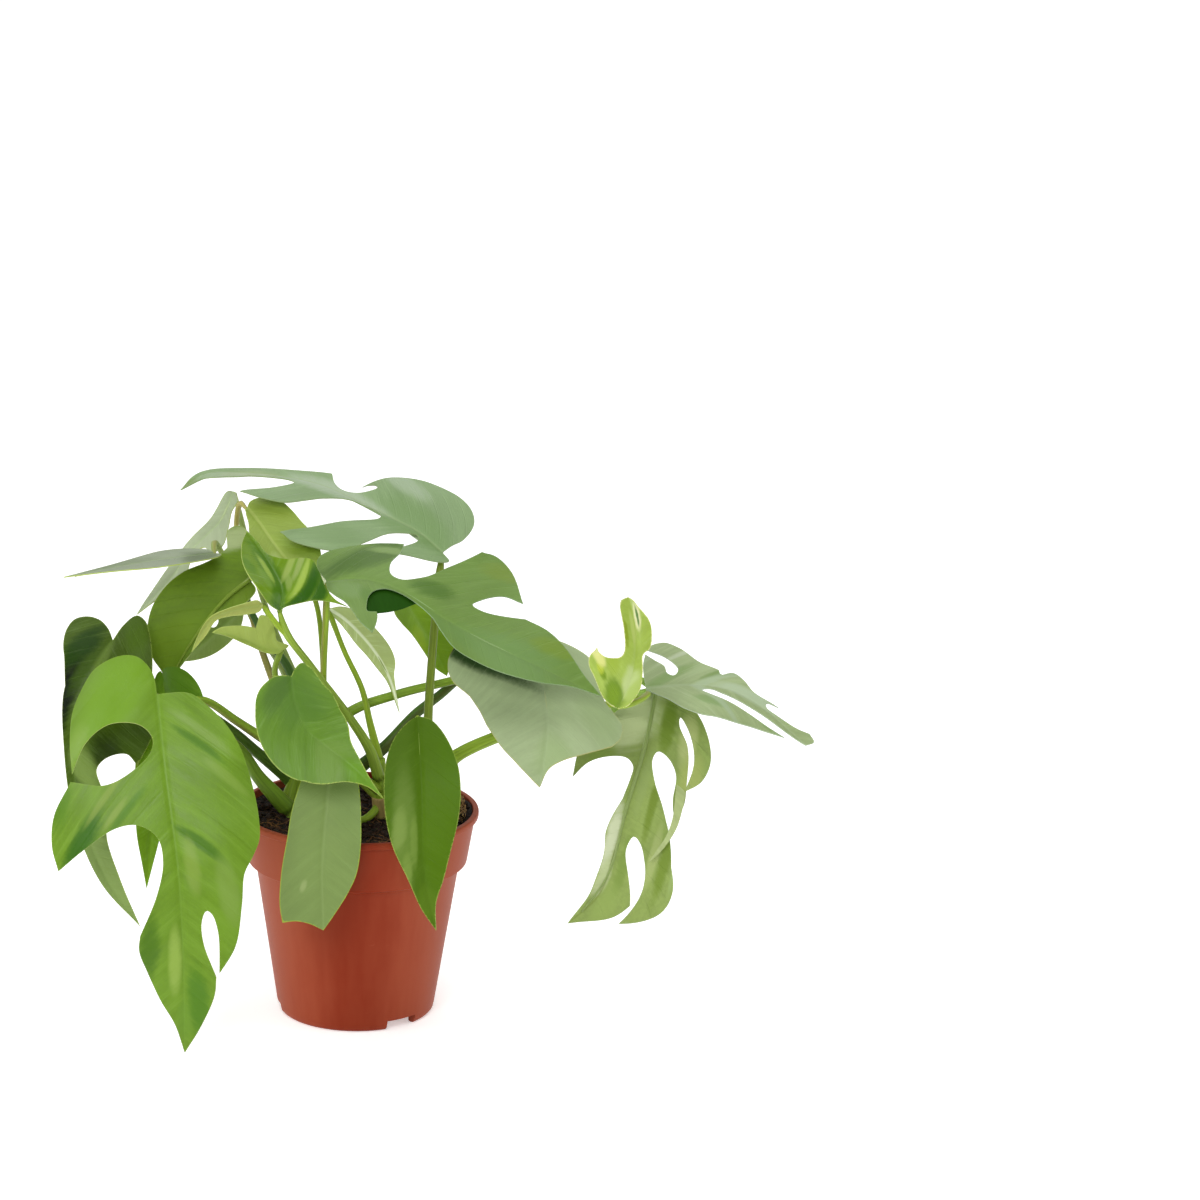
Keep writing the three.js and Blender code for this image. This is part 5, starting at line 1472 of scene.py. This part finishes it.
def add_soil():
    mesh = bmesh.new()
    for vert in bmesh.ops.create_grid(mesh, x_segments=SOIL_GRID, y_segments=SOIL_GRID, size=1)["verts"]:
        x, y, _ = vert.co
        wide, deep = math.sqrt(1 - y * y / 2), math.sqrt(1 - x * x / 2)  # the square grid made round
        x, y = x * wide * SOIL_RADIUS, y * deep * SOIL_RADIUS
        height = soil_height(x, y)
        out = 1 + (height - SOIL_LEVEL) * WALL_SLOPE / SOIL_RADIUS
        vert.co = (x * out, y * out, height)
    rim = [edge for edge in mesh.edges if edge.is_boundary]
    for radius, height in SOIL_BODY:
        made = bmesh.ops.extrude_edge_only(mesh, edges=rim)["geom"]
        rim = [part for part in made if isinstance(part, bmesh.types.BMEdge)]
        for vert in {vert for edge in rim for vert in edge.verts}:
            out = radius / math.hypot(vert.co.x, vert.co.y)
            vert.co = (vert.co.x * out, vert.co.y * out, height)
    bmesh.ops.holes_fill(mesh, edges=rim, sides=0)
    bmesh.ops.recalc_face_normals(mesh, faces=mesh.faces)
    to_metres(mesh)
    shade_smooth(mesh)
    piece = add_piece("soil_fine", mesh, [soil_skin("peat", "#0d0704", "#24140c", 260.0)])
    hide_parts("soil")


STEM_CLEAR = 6
CRUMBS = 1500
CRUMB_EDGE = SOIL_RADIUS - 1.5
CRUMB_LEAST = 0.3  # radius of the smallest, and how much more the largest has
CRUMB_MORE = 1.9
CRUMB_LONG = (0.6, 1.5)  # length and height as shares of the radius
CRUMB_FLAT = (0.4, 0.9)
CRUMB_RISE = 0.2
CRUMB_TILT = 0.8
CRUMB_TURN = 6.28
RAGGED_FINENESS = 1.7
RAGGED_DEPTH = 0.3
FIBRE_EDGE = SOIL_RADIUS - 2
FIBRE_BENDS = 4
FIBRE_STEP = (1.5, 5.0)
FIBRE_WANDER = 0.7
FIBRE_RADIUS = (0.12, 0.32)
STREWN_FIBRES = 330
STREWN_LIFT = 1.6
HEAP_LIFT = 3.2
HEAP_TRIES = 2600
HEAP_LEFT = 34  # the tangle's fibres start beyond these two places
HEAP_FRONT = -18


def clear_of_stems(x, y):
    return all(math.hypot(x - stem_x, y - stem_y) > STEM_CLEAR for stem_x, stem_y in STEM_FEET)


def scattered(count, dice, edge):
    """Spots on the soil, each with its height, away from the stems."""
    made = []
    while len(made) < count:
        far = edge * math.sqrt(dice.random())
        turn = dice.uniform(0, 2 * math.pi)
        x, y = far * math.cos(turn), far * math.sin(turn)
        if clear_of_stems(x, y):
            made.append(Vector((x, y, soil_height(x, y))))
    return made


def add_crumbs():
    dice = random.Random(7)
    mesh = bmesh.new()
    for spot in scattered(CRUMBS, dice, CRUMB_EDGE):
        size = CRUMB_LEAST + CRUMB_MORE * dice.uniform(0.35, 1.0) ** 2
        long, flat = dice.uniform(*CRUMB_LONG), dice.uniform(*CRUMB_FLAT)
        stretch = Matrix.Diagonal((size * long, size, size * flat, 1))
        turn = Matrix.Rotation(dice.uniform(0, CRUMB_TURN), 4, "Z")
        turn = turn @ Matrix.Rotation(dice.uniform(-CRUMB_TILT, CRUMB_TILT), 4, "X")
        place = Matrix.Translation(spot + Vector((0, 0, size * CRUMB_RISE))) @ turn @ stretch
        bmesh.ops.create_icosphere(mesh, subdivisions=1, radius=1, matrix=place)
    for vert in mesh.verts:
        vert.co += noise.noise_vector(vert.co * RAGGED_FINENESS) * RAGGED_DEPTH
    to_metres(mesh)
    add_piece("soil_crumbs", mesh, [soil_skin("bark_crumb", "#140a06", "#3a2114", 420.0)])


def add_fibres(name, spots, dice, lift, skin):
    """Thin bent fibres that start at these spots and lie on the soil, lifted off it by up to this much."""
    mesh = bmesh.new()
    for spot in spots:
        turn = dice.uniform(0, 2 * math.pi)
        step = dice.uniform(*FIBRE_STEP)
        points = []
        for _ in range(FIBRE_BENDS):
            height = soil_height(spot.x, spot.y) + dice.uniform(0.2, lift)
            points.append(Vector((spot.x, spot.y, height)))
            turn += dice.uniform(-FIBRE_WANDER, FIBRE_WANDER)
            ahead = spot + Vector((math.cos(turn), math.sin(turn), 0)) * step
            if math.hypot(ahead.x, ahead.y) > FIBRE_EDGE:
                turn += math.pi / 2
                ahead = spot + Vector((math.cos(turn), math.sin(turn), 0)) * step * 0.4
            if math.hypot(ahead.x, ahead.y) > CRUMB_EDGE:
                break
            spot = ahead
        if len(points) > 2:
            thick = dice.uniform(*FIBRE_RADIUS)
            add_tube(mesh, Path(points), lambda share, angle: thick * (1.1 - 0.8 * share), 4, 6, 0)
    to_metres(mesh)
    add_piece(name, mesh, [skin])


def add_top_dressing():
    """Fibres all over the soil, and a pale tangle of them on the heap beside the rim."""
    dice = random.Random(11)
    strewn = scattered(STREWN_FIBRES, dice, SOIL_RADIUS - 4)
    heaped = scattered(HEAP_TRIES, dice, SOIL_RADIUS - 3)
    heaped = [spot for spot in heaped if spot.x > HEAP_LEFT and spot.y > HEAP_FRONT]
    peat = soil_skin("peat_fibre", "#3a2012", "#8a6238", 60.0)
    add_fibres("soil_fibres", strewn, dice, STREWN_LIFT, peat)
    pale = soil_skin("pale_fibre", "#8a6238", "#dcb988", 90.0)
    add_fibres("heap_fibres", heaped, dice, HEAP_LIFT, pale)


# ---------------------------------------------------------------- floor and light
FLOOR_HALF = 25.0  # metres
FLOOR_COLOUR = (0.93, 0.93, 0.93, 1)
GLOW_NEAR = (0.45, 0.45, 0.45, 1)
GLOW_FAR = (0.8, 0.8, 0.8, 1)
GLOW_REACH = (0.7, 4.0)  # squared metres from the middle between which the glow grows
SKY_STRENGTH = 0.28
LIGHT_AIM = (0.02, 0.0, 0.14)
LIGHTS = {  # place in metres, width, height, watts
    "key": ((-0.35, -1.5, 1.2), 0.8, 0.8, 15),
    "overhead": ((-0.1, 0.1, 1.6), 1.6, 1.6, 14),
    "left": ((-1.4, -0.6, 0.6), 0.5, 1.3, 9),
    "right": ((1.4, -0.4, 0.5), 0.5, 1.3, 5.5),
    "back": ((0.1, 1.8, 1.1), 2.6, 0.8, 8),
}


def add_floor():
    """A white floor that glows a little, more so far away, so that it has no visible end."""
    mesh = bmesh.new()
    bmesh.ops.create_grid(mesh, x_segments=1, y_segments=1, size=FLOOR_HALF)
    data = bpy.data.meshes.new("floor")
    mesh.to_mesh(data)
    mesh.free()
    floor = bpy.data.objects.new("floor", data)
    bpy.context.scene.collection.objects.link(floor)
    finish = Finish("floor_white", Base_Color=FLOOR_COLOUR, Roughness=0.9, Emission_Strength=1.0)
    x, y, _ = finish.parts(finish.place())
    far = finish.step(x * x + y * y, *GLOW_REACH)
    data.materials.append(finish.done(Emission_Color=finish.mix(far, GLOW_NEAR, GLOW_FAR)))


def add_softbox(name, place, width, height, power):
    data = bpy.data.lights.new(name, "AREA")
    data.shape = "RECTANGLE"
    data.size = width
    data.size_y = height
    data.energy = power
    lamp = bpy.data.objects.new(name, data)
    bpy.context.scene.collection.objects.link(lamp)
    lamp.visible_camera = False
    facing = (Vector(LIGHT_AIM) - Vector(place)).to_track_quat("-Z", "Y").to_matrix().to_4x4()
    lamp.matrix_world = Matrix.Translation(place) @ facing


def add_light():
    world = bpy.data.worlds.new("studio")
    bpy.context.scene.world = world
    world.use_nodes = True
    sky = world.node_tree.nodes["Background"].inputs
    sky["Color"].default_value = (1, 1, 1, 1)
    sky["Strength"].default_value = SKY_STRENGTH
    for name, (place, width, height, power) in LIGHTS.items():
        add_softbox(name, place, width, height, power)


# ---------------------------------------------------------------- the part
add_camera()
bpy.context.scene.view_settings.view_transform = "Standard"
for leaf_number, (leaf_name, leaf_spec) in enumerate(LEAVES.items(), 1):
    add_leaf(leaf_number, leaf_name, leaf_spec)
for stem_name, stem_spec in STEMS.items():
    add_stem(stem_name, **stem_spec)
add_sheath()
add_pot()
add_soil()
add_crumbs()
add_top_dressing()
add_floor()
add_light()
